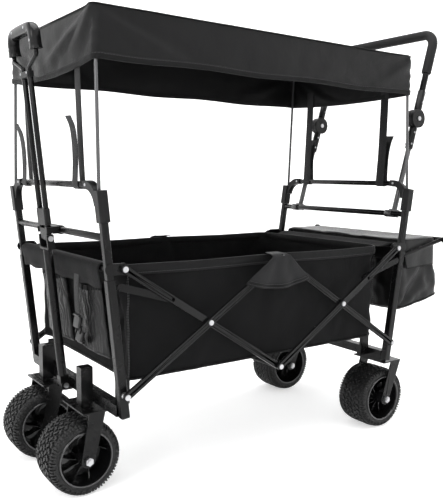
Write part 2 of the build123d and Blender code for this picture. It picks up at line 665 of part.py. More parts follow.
# ---- pull handle ---------------------------------------------------------------------------------------
def pull_handle():
    tilt = Pos(-pull_pivot_x, 0, pull_pivot_z) * Rot(0, -pull_lean, 0)
    lower = Pos(0, 0, (pull_block_low + 8) / 2) * Cylinder(pull_tube_radius, pull_block_low - 8)
    lower += Pos(0, 0, 6) * Box(22, 22, 36)
    for way in (-1, 1):
        lower -= Pos(way * 20, 0, -10) * Box(20, 40, 20)
    lower += rod_y(11, 0, 0, -11, 11)
    lower -= rod_y(pin_radius + run_gap, 0, 0, -12, 12)
    save("pull_lower_tube", tilt * lower)

    lug_face = beam_x(front) - beam_depth / 2
    lugs = []
    for side in (-1, 1):
        low = 11.5 if side > 0 else -11.5 - lug_thick
        lug = block(-pull_pivot_x, lug_face, low, low + lug_thick, pull_pivot_z - 12, pull_pivot_z + 12)
        lug += rod_y(12, -pull_pivot_x, pull_pivot_z, low, low + lug_thick)
        lug -= rod_y(pin_radius + run_gap, -pull_pivot_x, pull_pivot_z, low - 1, low + lug_thick + 1)
        lugs.append(lug)
    save("front_lower_frame", lugs)
    outer = 11.5 + lug_thick + run_gap
    save("front_frame_pins", rivet(-pull_pivot_x, pull_pivot_z, -outer, outer, True))

    # The block's two cheeks hold the twin tubes' hinge, and its back plate stops them upright.
    block_low = pull_block_low
    hinge = Box(pull_block_depth, pull_block_width, pull_block_length)
    hinge = Pos(0, 0, block_low + pull_block_length / 2) * hinge
    slot_back = tongue_depth / 2 + seat_gap
    slot = Box(pull_block_depth, pull_block_width - 2 * cheek_thick, pull_block_length)
    hinge -= Pos(slot_back - pull_block_depth / 2, 0, block_low + block_web + pull_block_length / 2) * slot
    hinge_z = block_low + pull_block_length - 9
    hinge -= rod_y(pin_radius + run_gap, 0, hinge_z, -40, 40)
    save("pull_hinge_block", tilt * hinge)
    save("pull_hinge_pin", tilt * rivet(0, hinge_z, -pull_block_width / 2, pull_block_width / 2, True))

    tongue_half = pull_block_width / 2 - cheek_thick - seat_gap
    tongue = Pos(0, 0, hinge_z + tongue_length / 2) * Box(tongue_depth, 2 * tongue_half, tongue_length)
    tongue += rod_y(tongue_depth / 2, 0, hinge_z, -tongue_half, tongue_half)
    tongue -= rod_y(pin_radius + run_gap, 0, hinge_z, -40, 40)
    tongue_top = hinge_z + tongue_length
    twin = []
    for side in (-1, 1):
        tube = Pos(0, side * twin_pitch / 2, tongue_top)
        twin.append(tube * Pos(0, 0, (twin_top - tongue_top) / 2) * (
            Cylinder(twin_radius, twin_top - tongue_top) - Cylinder(twin_radius - twin_wall, twin_top)))
    save("pull_twin_tubes", tilt * tongue)
    save("pull_twin_tubes", [tilt * tube for tube in twin])
    bridge_width = twin_pitch + 2 * twin_radius + 1.5
    for name, low, length in (("tie", tie_low, tie_length), ("collar", twin_top - 2, collar_length)):
        bridge = Pos(0, 0, low + length / 2) * Box(2 * twin_radius + 3, bridge_width, length)
        bridge = fillet(bridge.edges().filter_by(Axis.Z), 5)
        for side in (-1, 1):
            reach = twin_radius + 0.05
            bore = Pos(0, side * twin_pitch / 2, low + length / 2)
            if name == "collar":
                bridge -= bore * Cylinder(inner_radius + slide_gap, length + 1)
                bridge -= Pos(0, side * twin_pitch / 2, low) * Cylinder(reach, 2 * 2)
            else:
                bridge -= bore * Cylinder(reach, length + 1)
        save("pull_ties", tilt * bridge)

    inner = []
    for side in (-1, 1):
        points = [
            (0, side * twin_pitch / 2, inner_low),
            (0, side * twin_pitch / 2, twin_top + collar_length + 6),
            (0, side * grip_half_width, grip_low - 12),
            (0, side * grip_half_width, grip_low),
        ]
        inner.append(tilt * bent_tube(points, inner_radius, 7))
    save("pull_inner_tubes", inner)
    half = grip_half_width
    grip_points = [(0, -half, grip_low), (0, -half, grip_top), (0, half, grip_top), (0, half, grip_low)]
    save("pull_grip", tilt * bent_tube(grip_points, grip_radius, 24))

    # The clip holds the handle against the front cross tube.
    along = clip_low + clip_height / 2
    cross_x = leg_x(front, front_cross_z)
    finger_in = twin_pitch / 2 + twin_radius + 1
    clip = tilt * Pos(0, 0, along) * Box(2 * twin_radius + 4, 2 * finger_in + 8, clip_height)
    back_x = -pull_pivot_x - sin(radians(pull_lean)) * along + twin_radius
    clip += block(back_x, cross_x, -finger_in - 4, finger_in + 4, front_cross_z - 9, front_cross_z + 9)
    clip += rod_y(cross_tube_radius + 3, cross_x, front_cross_z, -finger_in - 4, finger_in + 4)
    clip -= rod_y(cross_tube_radius + 0.05, cross_x, front_cross_z, -60, 60)
    room = Pos(twin_radius + 2 - 20, 0, along) * Box(40, 2 * finger_in, 60)
    save("pull_clip", clip - tilt * room)


# ---- push handle ---------------------------------------------------------------------------------------
def push_handle():
    foot_x = leg_x(rear, rear_cross_z) + cross_tube_radius + push_tube_radius + 4
    tilt = Pos(foot_x, 0, rear_cross_z) * Rot(0, push_lean, 0)
    sleeve_low = disc_distance - lower_sleeve_length
    disc_gap = 0.3
    lower_tubes = []
    clamps = []
    lower_sleeves = []
    upper_sleeves = []
    pins = []
    for side in (-1, 1):
        y = side * push_y
        tube = Pos(0, y, sleeve_low / 2) * (Cylinder(push_tube_radius, sleeve_low + 14)
                                            - Cylinder(push_tube_radius - 1.5, sleeve_low + 15))
        lower_tubes.append(tilt * tube)
        clamp = Pos(0, y, 0) * Box(2 * push_tube_radius + 6, 2 * push_tube_radius + 8, push_clamp_height)
        clamp = tilt * (clamp - Pos(0, y, 0) * Cylinder(push_tube_radius + 0.05, 60))
        cross_x = leg_x(rear, rear_cross_z)
        clamp += rod_y(cross_tube_radius + 3, cross_x, rear_cross_z, y - 12, y + 12)
        clamp -= rod_y(cross_tube_radius + 0.05, cross_x, rear_cross_z, y - 20, y + 20)
        clamps.append(clamp - tilt * Pos(0, y, 0) * Cylinder(push_tube_radius + 0.05, 60))

        # Each joint is two plain discs side by side, the inner one on the lower sleeve.
        inner_y = y - side * (disc_thick + disc_gap) / 2
        outer_y = y + side * (disc_thick + disc_gap) / 2
        sleeve = Pos(0, y, (sleeve_low + disc_distance) / 2) * Cylinder(sleeve_radius, lower_sleeve_length)
        keep_out = Cylinder(disc_radius + 1, disc_thick + disc_gap)
        keep_out = Pos(0, outer_y, disc_distance) * Rot(90, 0, 0) * keep_out
        half_room = (3 * disc_radius, 40 + disc_thick + 2 * disc_gap, 2 * disc_radius + 2)
        wide_room = Pos(0, outer_y + side * 20, disc_distance) * Box(*half_room)
        sleeve -= wide_room
        sleeve -= keep_out
        half_disc = disc_thick / 2
        inner_disc = rod_y(disc_radius, 0, disc_distance, inner_y - half_disc, inner_y + half_disc)
        low_half = sleeve + inner_disc
        low_half -= Pos(0, y, sleeve_low) * Cylinder(push_tube_radius + 0.05, 14.2)
        low_half -= rod_y(pin_radius + run_gap, 0, disc_distance, y - 30, y + 30)
        lower_sleeves.append(tilt * low_half)
        outer_disc = rod_y(disc_radius, 0, disc_distance, outer_y - half_disc, outer_y + half_disc)
        high = Cylinder(sleeve_radius, upper_sleeve_length)
        high = Pos(0, y, disc_distance + upper_sleeve_length / 2) * high
        high -= Pos(0, inner_y - side * 20, disc_distance) * Box(*half_room)
        high_half = high + outer_disc
        bar_low = disc_distance + upper_sleeve_length - 20
        high_half -= Pos(0, y, bar_low + 50) * Cylinder(push_bar_radius + 0.05, 100)
        high_half -= rod_y(pin_radius + run_gap, 0, disc_distance, y - 30, y + 30)
        upper_sleeves.append(tilt * high_half)
        reach = disc_thick + disc_gap + run_gap
        pins.append(tilt * rivet(0, disc_distance, y - reach, y + reach, True))
    save("push_lower_tubes", lower_tubes)
    save("push_lower_tubes", clamps)
    save("push_lower_sleeves", lower_sleeves)
    save("push_upper_sleeves", upper_sleeves)
    save("push_hinge_pins", pins)
    top = disc_distance + push_bar_reach
    low = disc_distance + upper_sleeve_length - 20
    points = [(0, -push_y, low), (0, -push_y, top), (0, push_y, top), (0, push_y, low)]
    save("push_bar", tilt * bent_tube(points, push_bar_radius, push_bar_bend, 1.5))
    grip_low = disc_distance + foam_start
    grip = [(0, -push_y, grip_low), (0, -push_y, top), (0, push_y, top), (0, push_y, grip_low)]
    foam = bent_tube(grip, foam_radius, push_bar_bend, foam_radius - push_bar_radius - 0.1)
    save("push_grip", tilt * foam)


# ---- the whole wagon -------------------------------------------------------------------------------------
front_casters()
rear_wheels()
caster_posts()
for frame_end, comb_offset in ((front, floor_bar_offset), (rear, -floor_bar_offset)):
    lower_frame(frame_end)
    floor_bars(frame_end, comb_offset)
    corner_braces(frame_end)
    upper_frame(frame_end)
scissor_links()
soft_goods()
bag_carrier()
pull_handle()
push_handle()

every_shape = [shape for group in parts.values() for shape in group]
everything = Compound(children=[solid for shape in every_shape for solid in shape.solids()])
bounds = everything.bounding_box()
shift = Pos(-(bounds.min.X + bounds.max.X) / 2, 0, 0)
os.makedirs("parts", exist_ok=True)
for node, shapes in parts.items():
    solids = [shift * solid for shape in shapes for solid in shape.solids()]
    export_step(solids[0] if len(solids) == 1 else Compound(solids), f"parts/{node}.step")
print("nodes", len(parts), "shift", round(shift.position.X, 3), "size", bounds.size)
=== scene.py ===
import math
import random

import bpy
from mathutils import Matrix, Vector, noise


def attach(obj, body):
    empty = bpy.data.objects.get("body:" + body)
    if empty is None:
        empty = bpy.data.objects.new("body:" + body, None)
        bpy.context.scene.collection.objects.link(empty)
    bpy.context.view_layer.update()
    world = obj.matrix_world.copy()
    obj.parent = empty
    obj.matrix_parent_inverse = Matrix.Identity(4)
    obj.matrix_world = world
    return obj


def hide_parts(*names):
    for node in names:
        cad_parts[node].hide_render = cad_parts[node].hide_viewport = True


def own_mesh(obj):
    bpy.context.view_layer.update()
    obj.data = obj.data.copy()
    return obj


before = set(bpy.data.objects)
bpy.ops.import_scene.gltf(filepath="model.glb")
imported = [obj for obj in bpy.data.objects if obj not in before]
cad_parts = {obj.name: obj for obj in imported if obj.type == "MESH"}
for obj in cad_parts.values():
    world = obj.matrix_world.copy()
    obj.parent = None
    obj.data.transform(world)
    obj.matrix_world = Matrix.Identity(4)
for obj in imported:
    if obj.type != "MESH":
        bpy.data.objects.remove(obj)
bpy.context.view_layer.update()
random.seed(7)


# ---- camera, floor and light ------------------------------------------------
# A white cove with one large soft light overhead and a weaker one in front on the left, seen from
# just above the tub rim beside the front caster.
def skin(rows, ring=True, loop=False, ends=False):
    """Quads between rows of points, as one lump."""
    n = len(rows[0])
    faces = []
    for i in range(len(rows) if loop else len(rows) - 1):
        for j in range(n if ring else n - 1):
            a, b = i * n, (i + 1) % len(rows) * n
            k = (j + 1) % n
            faces.append((a + j, a + k, b + k, b + j))
    if ends:
        faces.append(tuple(range(n - 1, -1, -1)))
        faces.append(tuple(range((len(rows) - 1) * n, len(rows) * n)))
    return [Vector(p) for row in rows for p in row], faces


def put(name, lumps, paint, body=None, sharp=38):
    """One object made of lumps, riding on a body."""
    points, faces = [], []
    for some, sides in lumps:
        faces += [tuple(len(points) + i for i in side) for side in sides]
        points += some
    mesh = bpy.data.meshes.new(name)
    mesh.from_pydata(points, [], faces)
    mesh.polygons.foreach_set("use_smooth", [True] * len(mesh.polygons))
    mesh.set_sharp_from_angle(angle=math.radians(sharp))
    mesh.materials.append(paint)
    obj = bpy.data.objects.new(name, mesh)
    bpy.context.scene.collection.objects.link(obj)
    if body:
        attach(obj, body)
    return obj


def turned(profile, count=64):
    """A profile of (radius, height) turned round Z, as rows."""
    spin = [2 * math.pi * k / count for k in range(count)]
    return [[Vector((r * math.cos(a), r * math.sin(a), h)) for a in spin] for r, h in profile]


def finish(name, color, rough, metal=0.0, coat=0.0, relief=0.0, size=300.0, specular=0.5):
    """A plain finish with a little cloudy wear in its roughness and, if wanted, a fine raised grain."""
    material = bpy.data.materials.new(name)
    material.use_nodes = True
    tree = material.node_tree
    shader = tree.nodes["Principled BSDF"]
    shader.inputs["Base Color"].default_value = (*color, 1)
    shader.inputs["Metallic"].default_value = metal
    shader.inputs["Coat Weight"].default_value = coat
    shader.inputs["Coat Roughness"].default_value = 0.12
    shader.inputs["Specular IOR Level"].default_value = specular
    where = tree.nodes.new("ShaderNodeTexCoord")
    cloud = tree.nodes.new("ShaderNodeTexNoise")
    cloud.inputs["Scale"].default_value = 30
    cloud.inputs["Detail"].default_value = 4
    span = tree.nodes.new("ShaderNodeMapRange")
    span.inputs["To Min"].default_value = max(0.02, rough - 0.08)
    span.inputs["To Max"].default_value = rough + 0.08
    tree.links.new(where.outputs["Object"], cloud.inputs["Vector"])
    tree.links.new(cloud.outputs["Fac"], span.inputs["Value"])
    tree.links.new(span.outputs["Result"], shader.inputs["Roughness"])
    if relief:
        grain = tree.nodes.new("ShaderNodeTexNoise")
        grain.inputs["Scale"].default_value = size
        bump = tree.nodes.new("ShaderNodeBump")
        bump.inputs["Strength"].default_value = relief
        bump.inputs["Distance"].default_value = 0.0006
        tree.links.new(where.outputs["Object"], grain.inputs["Vector"])
        tree.links.new(grain.outputs["Fac"], bump.inputs["Height"])
        tree.links.new(bump.outputs["Normal"], shader.inputs["Normal"])
    return material


scene = bpy.context.scene
yaw, pitch, roll = 0.6182, -0.1116, 0.0116
place = Vector((-1.15087, -1.5662, 0.7515))
ahead = Vector((math.sin(yaw) * math.cos(pitch), math.cos(yaw) * math.cos(pitch), math.sin(pitch)))
level = Vector((math.cos(yaw), -math.sin(yaw), 0))
over = level.cross(ahead)
right = math.cos(roll) * level + math.sin(roll) * over
upward = math.cos(roll) * over - math.sin(roll) * level
lens = bpy.data.cameras.new("camera")
lens.lens = 48.0
lens.sensor_width = 36.0
camera = bpy.data.objects.new("camera", lens)
facing = Matrix((right, upward, -ahead)).transposed()
camera.matrix_world = Matrix.Translation(place) @ facing.to_4x4()
scene.collection.objects.link(camera)
scene.camera = camera
scene.view_settings.view_transform = "Standard"

floor_radius, bend, wall_top = 4.5, 2.0, 8.0
cove = [(0.0001, 0), (1.5, 0), (3.0, 0), (floor_radius, 0)]
for k in range(1, 9):
    a = k * math.pi / 16
    cove.append((floor_radius + bend * math.sin(a), bend - bend * math.cos(a)))
cove.append((floor_radius + bend, wall_top))
paper = finish("white_paper", (0.94, 0.94, 0.94), 0.8, specular=0.1)
glow = paper.node_tree.nodes["Principled BSDF"].inputs
glow["Emission Color"].default_value = (1, 1, 1, 1)
glow["Emission Strength"].default_value = 0.45
floor = put("studio_floor", [skin(turned(cove, 96))], paper, sharp=180)

world = bpy.data.worlds.new("studio")
world.use_nodes = True
sky = world.node_tree.nodes["Background"].inputs
sky["Color"].default_value = (1, 1, 1, 1)
sky["Strength"].default_value = 0.25
scene.world = world


def softbox(name, size, power, place, target):
    """A square area light aimed at a point."""
    light = bpy.data.lights.new(name, "AREA")
    light.shape = "SQUARE"
    light.size = size
    light.energy = power
    lamp = bpy.data.objects.new(name, light)
    lamp.location = place
    lamp.rotation_euler = (Vector(target) - Vector(place)).to_track_quat("-Z", "Y").to_euler()
    scene.collection.objects.link(lamp)


softbox("top_light", 2.6, 120, (-0.3, -0.3, 3.3), (0, 0, 0.4))
softbox("front_light", 1.2, 32, (-3.2, -1.2, 2.1), (0, 0, 0.5))


# ---- tyres ------------------------------------------------------------------
# Wide black rubber tyres, each moulded in one piece: a rounded carcass under five rows of stepped
# blocks, with a ring of lugs over each shoulder. Each is pressed onto its rim.
bead_radius, tyre_rise, tyre_half = 0.0672, 0.0191, 0.0496
block_radius, lug_radius = 0.087, 0.085


def shoulder(theta, lift=0.0):
    """(radius, side) of the carcass, from one bead at 0 over the crown to the other at pi."""
    side = math.copysign(abs(math.cos(theta)) ** 0.4, math.cos(theta))
    rise = abs(math.sin(theta)) ** 0.4
    return bead_radius + (tyre_rise + lift) * rise, (tyre_half + lift) * side


def round_axle(lump, centre):
    """A lump drawn round Z is laid with its axis along Y."""
    points, faces = lump
    return [Vector((p.x, p.z, p.y)) + Vector(centre) for p in points], [f[::-1] for f in faces]


def block(shape, around, across):
    """A tread block on the crown, narrower at the top."""
    rows = []
    for share, lift in ((1.0, -0.001), (0.97, 0.0026), (0.84, 0.0036)):
        row = []
        for u, v in shape:
            side = across + v * share
            crown = (1 - min(0.999, abs(side) / tyre_half) ** 5) ** 0.2
            r = bead_radius + tyre_rise * crown + lift
            a = around + u * share / block_radius
            row.append(Vector((r * math.cos(a), r * math.sin(a), side)))
        rows.append(row)
    points, faces = skin(rows)
    n = len(shape)
    return points, faces + [tuple(range(2 * n, 3 * n))]


def lug(around, near, far, half, way):
    """A lug that wraps over one shoulder."""
    rows = []
    steps = 6
    for i in range(steps + 1):
        theta = near + (far - near) * i / steps
        low, high = shoulder(theta, -0.001), shoulder(theta, 0.0030 if 0 < i < steps else 0.0012)
        w = half * (1.0 if i < 4 else 0.85)
        row = []
        for (r, s), k in ((low, -1), (high, -0.8), (high, 0.8), (low, 1)):
            a = around + k * w / lug_radius
            row.append(Vector((r * math.cos(a), r * math.sin(a), s * way)))
        rows.append(row)
    return skin(rows, ends=True)


rubber = finish("tyre_rubber", (0.0050, 0.0050, 0.0052), 0.48, relief=0.25, size=900, specular=0.26)
carcass = [shoulder(math.pi * k / 48) for k in range(49)]
carcass += [(0.0655, -0.0485), (0.0655, 0.0485)]
tread = [skin(turned(carcass, 96), loop=True)]
for way in (1, -1):
    for r, w in ((0.0745, 0.00055), (0.0715, 0.0004)):
        wall = tyre_half * (1 - ((r - bead_radius) / tyre_rise) ** 5) ** 0.2 * way
        ridge = [(r + w * 1.8, wall), (r + w, wall + w * way), (r - w, wall + w * way), (r - w * 1.8, wall)]
        tread.append(skin(turned(ridge, 96)))
half_block = [(-6.4, -5.6), (1.8, -5.6), (1.8, -1.1), (6.4, -1.1)]
step_block = half_block + [(-u, -v) for u, v in half_block]
blocks_round, lugs_round, row_pitch = 34, 68, 0.0138
for row in range(5):
    flip = 1 if row % 2 else -1
    shape = [(flip * u / 1000, v / 1000) for u, v in step_block]
    for k in range(blocks_round):
        turn = 2 * math.pi * (k + 0.5 * (row % 2)) / blocks_round
        tread.append(block(shape, turn, (row - 2) * row_pitch))
for way in (1, -1):
    for k in range(lugs_round):
        turn = 2 * math.pi * (k + 0.25) / lugs_round
        tread.append(lug(turn, 1.06, 0.10 if k % 2 else 0.42, 0.0026, way))
wheels = {
    "front_right": (-0.5397, -0.125, 0.09),
    "front_left": (-0.5397, 0.125, 0.09),
    "rear_right": (0.3783, -0.213, 0.09),
    "rear_left": (0.3783, 0.213, 0.09),
}
for corner, centre in wheels.items():
    tyre = put(f"{corner}_tread", [round_axle(lump, centre) for lump in tread], rubber, f"{corner}_wheel")
    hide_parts(f"{corner}_tyre")


# ---- rims -------------------------------------------------------------------
# Glossy black moulded rims with a deep dish on each face, a thin bright lip, a hub boss round the
# axle and nine curved ribs that stiffen the web.
hub_end, web_end = 0.0162, 0.0590


def rib(turn, way):
    """A curved upright rib on the web, from the hub boss to the barrel."""
    rows = []
    for i in range(13):
        t = i / 12
        r = hub_end + t * (web_end - hub_end)
        a = turn + way * 0.62 * t * (1.2 - 0.2 * t)
        top = 0.026 - 0.010 * math.sin(math.pi * t) + 0.004 * t
        edge = top - 0.0006
        out = Vector((math.cos(a), math.sin(a), 0))
        side = Vector((-math.sin(a), math.cos(a), 0))
        row = []
        for w, z in ((-0.0013, 0.002), (-0.0009, edge), (0, top), (0.0009, edge), (0.0013, 0.002)):
            row.append(out * r + side * w + Vector((0, 0, z * way)))
        rows.append(row)
    return skin(rows, ends=True)


brim = 0.0512
face = [(0.0640, 0), (0.0640, brim - 0.007), (0.0668, brim - 0.006), (0.0672, brim - 0.001)]
face += [(0.0662, brim + 0.0004), (0.0628, brim + 0.0004), (0.0612, brim - 0.002)]
face += [(0.0605, brim - 0.010), (0.0590, brim - 0.022), (0.0570, 0.010)]
face += [(0.0545, 0.0045), (0.0200, 0.0035), (0.0178, 0.008), (0.0160, brim - 0.006)]
face += [(0.0150, brim + 0.0040), (0.0095, brim + 0.0044)]
face += [(0.0090, brim + 0.0020), (0.0062, brim + 0.0020)]
barrel = face + [(r, -z) for r, z in reversed(face[1:])]
moulding = [skin(turned(barrel, 96), loop=True)]
for way in (1, -1):
    moulding += [rib(2 * math.pi * k / 9, way) for k in range(9)]
lip_section = [(0.0664, brim + 0.0006), (0.0655, brim + 0.0012)]
lip_section += [(0.0640, brim + 0.0012), (0.0631, brim + 0.0006)]
lip = [skin(turned([(r, way * z) for r, z in lip_section], 96)) for way in (1, -1)]
gloss = finish("rim_gloss", (0.0045, 0.0045, 0.0047), 0.16, coat=0.1, specular=0.35)
lip_paint = finish("rim_lip", (0.030, 0.030, 0.031), 0.22, specular=0.5)
for corner, centre in wheels.items():
    body = f"{corner}_wheel"
    rim = put(f"{corner}_hub", [round_axle(lump, centre) for lump in moulding], gloss, body, sharp=32)
    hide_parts(f"{corner}_rim")
    edge = put(f"{corner}_rim_lip", [round_axle(lump, centre) for lump in lip], lip_paint, body)


# ---- steel frame, links, forks and bars -------------------------------------
# Round and square steel tube, bent, notched and welded, all in satin black powder coat. The
# scissor links are flattened tube, the fork blades folded plate, the rivets and bolts zinc plated.
def dress(names, paint, edge):
    """Gives carried-over parts their finish and a small radius on each edge."""
    for name in names:
        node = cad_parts[name]
        node.data.materials.clear()
        node.data.materials.append(paint)
        weld = node.modifiers.new("weld", "WELD")
        weld.merge_threshold = 0.00001
        if edge:
            soft = node.modifiers.new("edge", "BEVEL")
            soft.width = edge
            soft.segments = 2
            soft.limit_method = "ANGLE"
            soft.angle_limit = math.radians(32)
            soft.harden_normals = True


powder = {"relief": 0.15, "size": 1400, "coat": 0.03, "specular": 0.14}
link_powder = {"relief": 0.10, "size": 1400, "coat": 0.05, "specular": 0.18}
coat = finish("powder_coat", (0.0030, 0.0030, 0.0031), 0.26, **powder)
link_coat = finish("link_coat", (0.0034, 0.0034, 0.0036), 0.24, **link_powder)
zinc = finish("zinc_plate", (0.42, 0.42, 0.43), 0.34, metal=1.0)
lacquer = finish("grey_lacquer", (0.045, 0.045, 0.047), 0.24, coat=0.2)
tube_grey = finish("tube_grey", (0.030, 0.030, 0.031), 0.20, coat=0.3)
moulded = finish("moulded_plastic", (0.0040, 0.0040, 0.0042), 0.36, relief=0.3, size=1100, specular=0.16)
dress(("rear_lower_frame", "front_lower_frame", "rear_upper_frame", "front_upper_frame"), coat, 0.0008)
dress(("rear_forks", "front_right_fork", "front_left_fork"), coat, 0.0009)
dress(("front_top_bar", "rear_top_bar", "rear_floor_bars", "front_floor_bars", "bag_carrier"), coat, 0.0006)
dress(("rear_braces", "front_braces", "push_bar"), coat, 0.0005)
dress(("pull_lower_tube", "pull_twin_tubes", "pull_inner_tubes"), coat, 0.0004)
dress(("rear_low_links", "rear_high_links", "front_low_links", "front_high_links"), link_coat, 0.0010)
dress(("rear_frame_bolts", "rear_low_rivets", "rear_high_rivets", "front_high_rivets"), zinc, 0.0004)
dress(("front_frame_pins", "front_right_axle_bolt", "front_left_axle_bolt"), zinc, 0.0004)
dress(("push_hinge_pins", "pull_hinge_pin"), zinc, 0.0004)
dress(("front_canopy_poles", "rear_canopy_poles"), lacquer, 0.0003)
dress(("push_lower_tubes",), tube_grey, 0.0004)
dress(("front_corner_sockets", "rear_corner_sockets"), moulded, 0.0008)
dress(("pull_clip", "pull_hinge_block", "pull_ties"), moulded, 0.0008)
dress(("push_lower_sleeves", "push_upper_sleeves"), moulded, 0.0008)


# ---- tub --------------------------------------------------------------------
# An open box sewn from coated polyester, with a hemmed rim, hanging between the four posts. The
# side panels are pulled flat along the rim and wrinkle softly below it.
def cloth(name, color, rough=0.72, weave=1.0, specular=0.10, sheen=0.02):
    """Plain woven cloth: fine crossed threads with a broad soft crumple over them."""
    material = bpy.data.materials.new(name)
    material.use_nodes = True
    tree = material.node_tree
    shader = tree.nodes["Principled BSDF"]
    shader.inputs["Base Color"].default_value = (*color, 1)
    shader.inputs["Roughness"].default_value = rough
    shader.inputs["Specular IOR Level"].default_value = specular
    shader.inputs["Sheen Weight"].default_value = sheen
    shader.inputs["Sheen Roughness"].default_value = 0.5
    where = tree.nodes.new("ShaderNodeTexCoord")
    total = None
    for axis in "XYZ":
        wave = tree.nodes.new("ShaderNodeTexWave")
        wave.bands_direction = axis
        wave.inputs["Scale"].default_value = 260
        wave.inputs["Distortion"].default_value = 0.6
        tree.links.new(where.outputs["Object"], wave.inputs["Vector"])
        if total is None:
            total = wave.outputs["Fac"]
            continue
        join = tree.nodes.new("ShaderNodeMath")
        join.operation = "ADD"
        tree.links.new(total, join.inputs[0])
        tree.links.new(wave.outputs["Fac"], join.inputs[1])
        total = join.outputs["Value"]
    threads = tree.nodes.new("ShaderNodeBump")
    threads.inputs["Strength"].default_value = 0.25 * weave
    threads.inputs["Distance"].default_value = 0.0004
    tree.links.new(total, threads.inputs["Height"])
    crumple = tree.nodes.new("ShaderNodeTexNoise")
    crumple.inputs["Scale"].default_value = 24
    crumple.inputs["Detail"].default_value = 5
    crumple.inputs["Distortion"].default_value = 0.5
    tree.links.new(where.outputs["Object"], crumple.inputs["Vector"])
    folds = tree.nodes.new("ShaderNodeBump")
    folds.inputs["Strength"].default_value = 0.35
    folds.inputs["Distance"].default_value = 0.004
    tree.links.new(crumple.outputs["Fac"], folds.inputs["Height"])
    tree.links.new(threads.outputs["Normal"], folds.inputs["Normal"])
    tree.links.new(folds.outputs["Normal"], shader.inputs["Normal"])
    return material


def outline(x0, x1, y1, radius, step):
    """A rounded rectangle, as points with their outward directions."""
    raw = []
    turns = ((x1 - radius, radius - y1, -90), (x1 - radius, y1 - radius, 0))
    turns += ((x0 + radius, y1 - radius, 90), (x0 + radius, radius - y1, 180))
    for cx, cy, start in turns:
        for k in range(7):
            a = math.radians(start + 15 * k)
            out = (math.cos(a), math.sin(a))
            raw.append(Vector((cx + radius * out[0], cy + radius * out[1], *out)))
    points = []
    for a, b in zip(raw, raw[1:] + raw[:1]):
        n = max(1, round((b - a).xy.length / step))
        points += [a.lerp(b, k / n) for k in range(n)]
    return points


def raised(p, folds):
    """How far cloth stands out at p from ridges that run between pairs of points."""
    rise = 0.0
    for a, b, height, width in folds:
        along = b - a
        t = max(0.0, min(1.0, (p - a).dot(along) / along.length_squared))
        away = (p - a - along * t).length
        rise += height * math.exp(-((away / (width * (0.5 + t))) ** 2)) * (1 - 0.55 * t)
    return rise


def fan(corner, first, last, count, height, width):
    """Ridges that spread from a corner to points between first and last."""
    start, first, last = Vector(corner), Vector(first), Vector(last)
    made = []
    for k in range(count):
        t = (k + random.uniform(0.25, 0.75)) / count
        end = start.lerp(first.lerp(last, t), random.uniform(0.6, 1.0))
        rise = height * random.choice((-1, 1)) * random.uniform(0.6, 1.0)
        made.append((start, end, rise, width * random.uniform(0.7, 1.3)))
    return made


def stitches(rows, step=0.0062, length=0.0042, thick=0.0005):
    """Short raised threads along paths."""
    lumps = []
    for path in rows:
        path = [Vector(p) for p in path]
        left = 0.0
        for a, b in zip(path, path[1:]):
            gap = (b - a).length
            if gap < 1e-6:
                continue
            along = (b - a) / gap
            side = along.orthogonal().normalized() * thick
            top = along.cross(side.normalized()) * thick
            while left < gap:
                p = a + along * left
                q = p + along * length
                lumps.append(skin([[e + side, e + top, e - side, e - top] for e in (p, q)], ends=True))
                left += step
            left -= gap
    return lumps

def beside(path, row, out, up=0.0):
    """A row of points moved out from its outline, and up."""
    return [Vector((q.x + p.z * out, q.y + p.w * out, q.z + up)) for p, q in zip(path, row)]


def closed(rows, centre, end=False):
    """Rows of cloth whose first ring, or last, is drawn together at a centre point."""
    points, faces = skin(rows)
    n = len(rows[0])
    hub = len(points)
    start = hub - n if end else 0
    points.append(Vector(centre))
    for j in range(n):
        near, far = start + j, start + (j + 1) % n
        faces.append((near, far, hub) if end else (hub, far, near))
    return points, faces


def thicken(obj, thick, offset=-1):
    """Gives a single skin of cloth its thickness."""
    shell = obj.modifiers.new("cloth", "SOLIDIFY")
    shell.thickness = thick
    shell.offset = offset


def tuck(x, y, height):
    """The front of the tub is drawn in towards its bottom, which crushes its front corners."""
    share = max(0.0, min(1.0, (-0.474 - x) / 0.028)) * (1 - height) ** 0.8
    return Vector((0.034 * share, -y * 0.075 * share, 0))


def tub_point(p, out, z):
    """A point of the tub wall, pushed in or out by its wrinkles."""
    q = Vector((p.x, p.y, z))
    height = min(1.0, max(0.0, (z - tub_low) / tub_rise))
    lift = raised(q, tub_folds)
    lift += 0.0035 * noise.noise(q * 9) * math.sin(math.pi * min(1, height))
    lift += 0.0016 * noise.noise(q * 26 + Vector((3, 0, 0)))
    post_x, post_y = abs(p.x - tub_mid_x) - 0.412, abs(p.y) - 0.258
    corner = math.exp(-((post_x / 0.030) ** 2) - (post_y / 0.030) ** 2)
    lift -= corner * 0.006 * (0.6 + 0.4 * math.sin(z * 90))
    lift = max(-0.012, min(0.0025, lift - 0.002)) * min(1.0, 0.15 + (1 - height) * 6)
    sag = 0.0022 * height * math.sin((p.x + 0.068) * 7.2) ** 2
    crush = max(0.0, min(1.0, (-0.470 - p.x) / 0.03)) * (abs(p.y) > 0.19) * math.sin(math.pi * height)
    lift -= crush * 0.0045 * (1 + math.sin(abs(p.y) * 260 + p.x * 330 + 2.5 * math.sin(z * 21)))
    return Vector((p.x + out.x * lift, p.y + out.y * lift, z - sag)) + tuck(p.x, p.y, height)


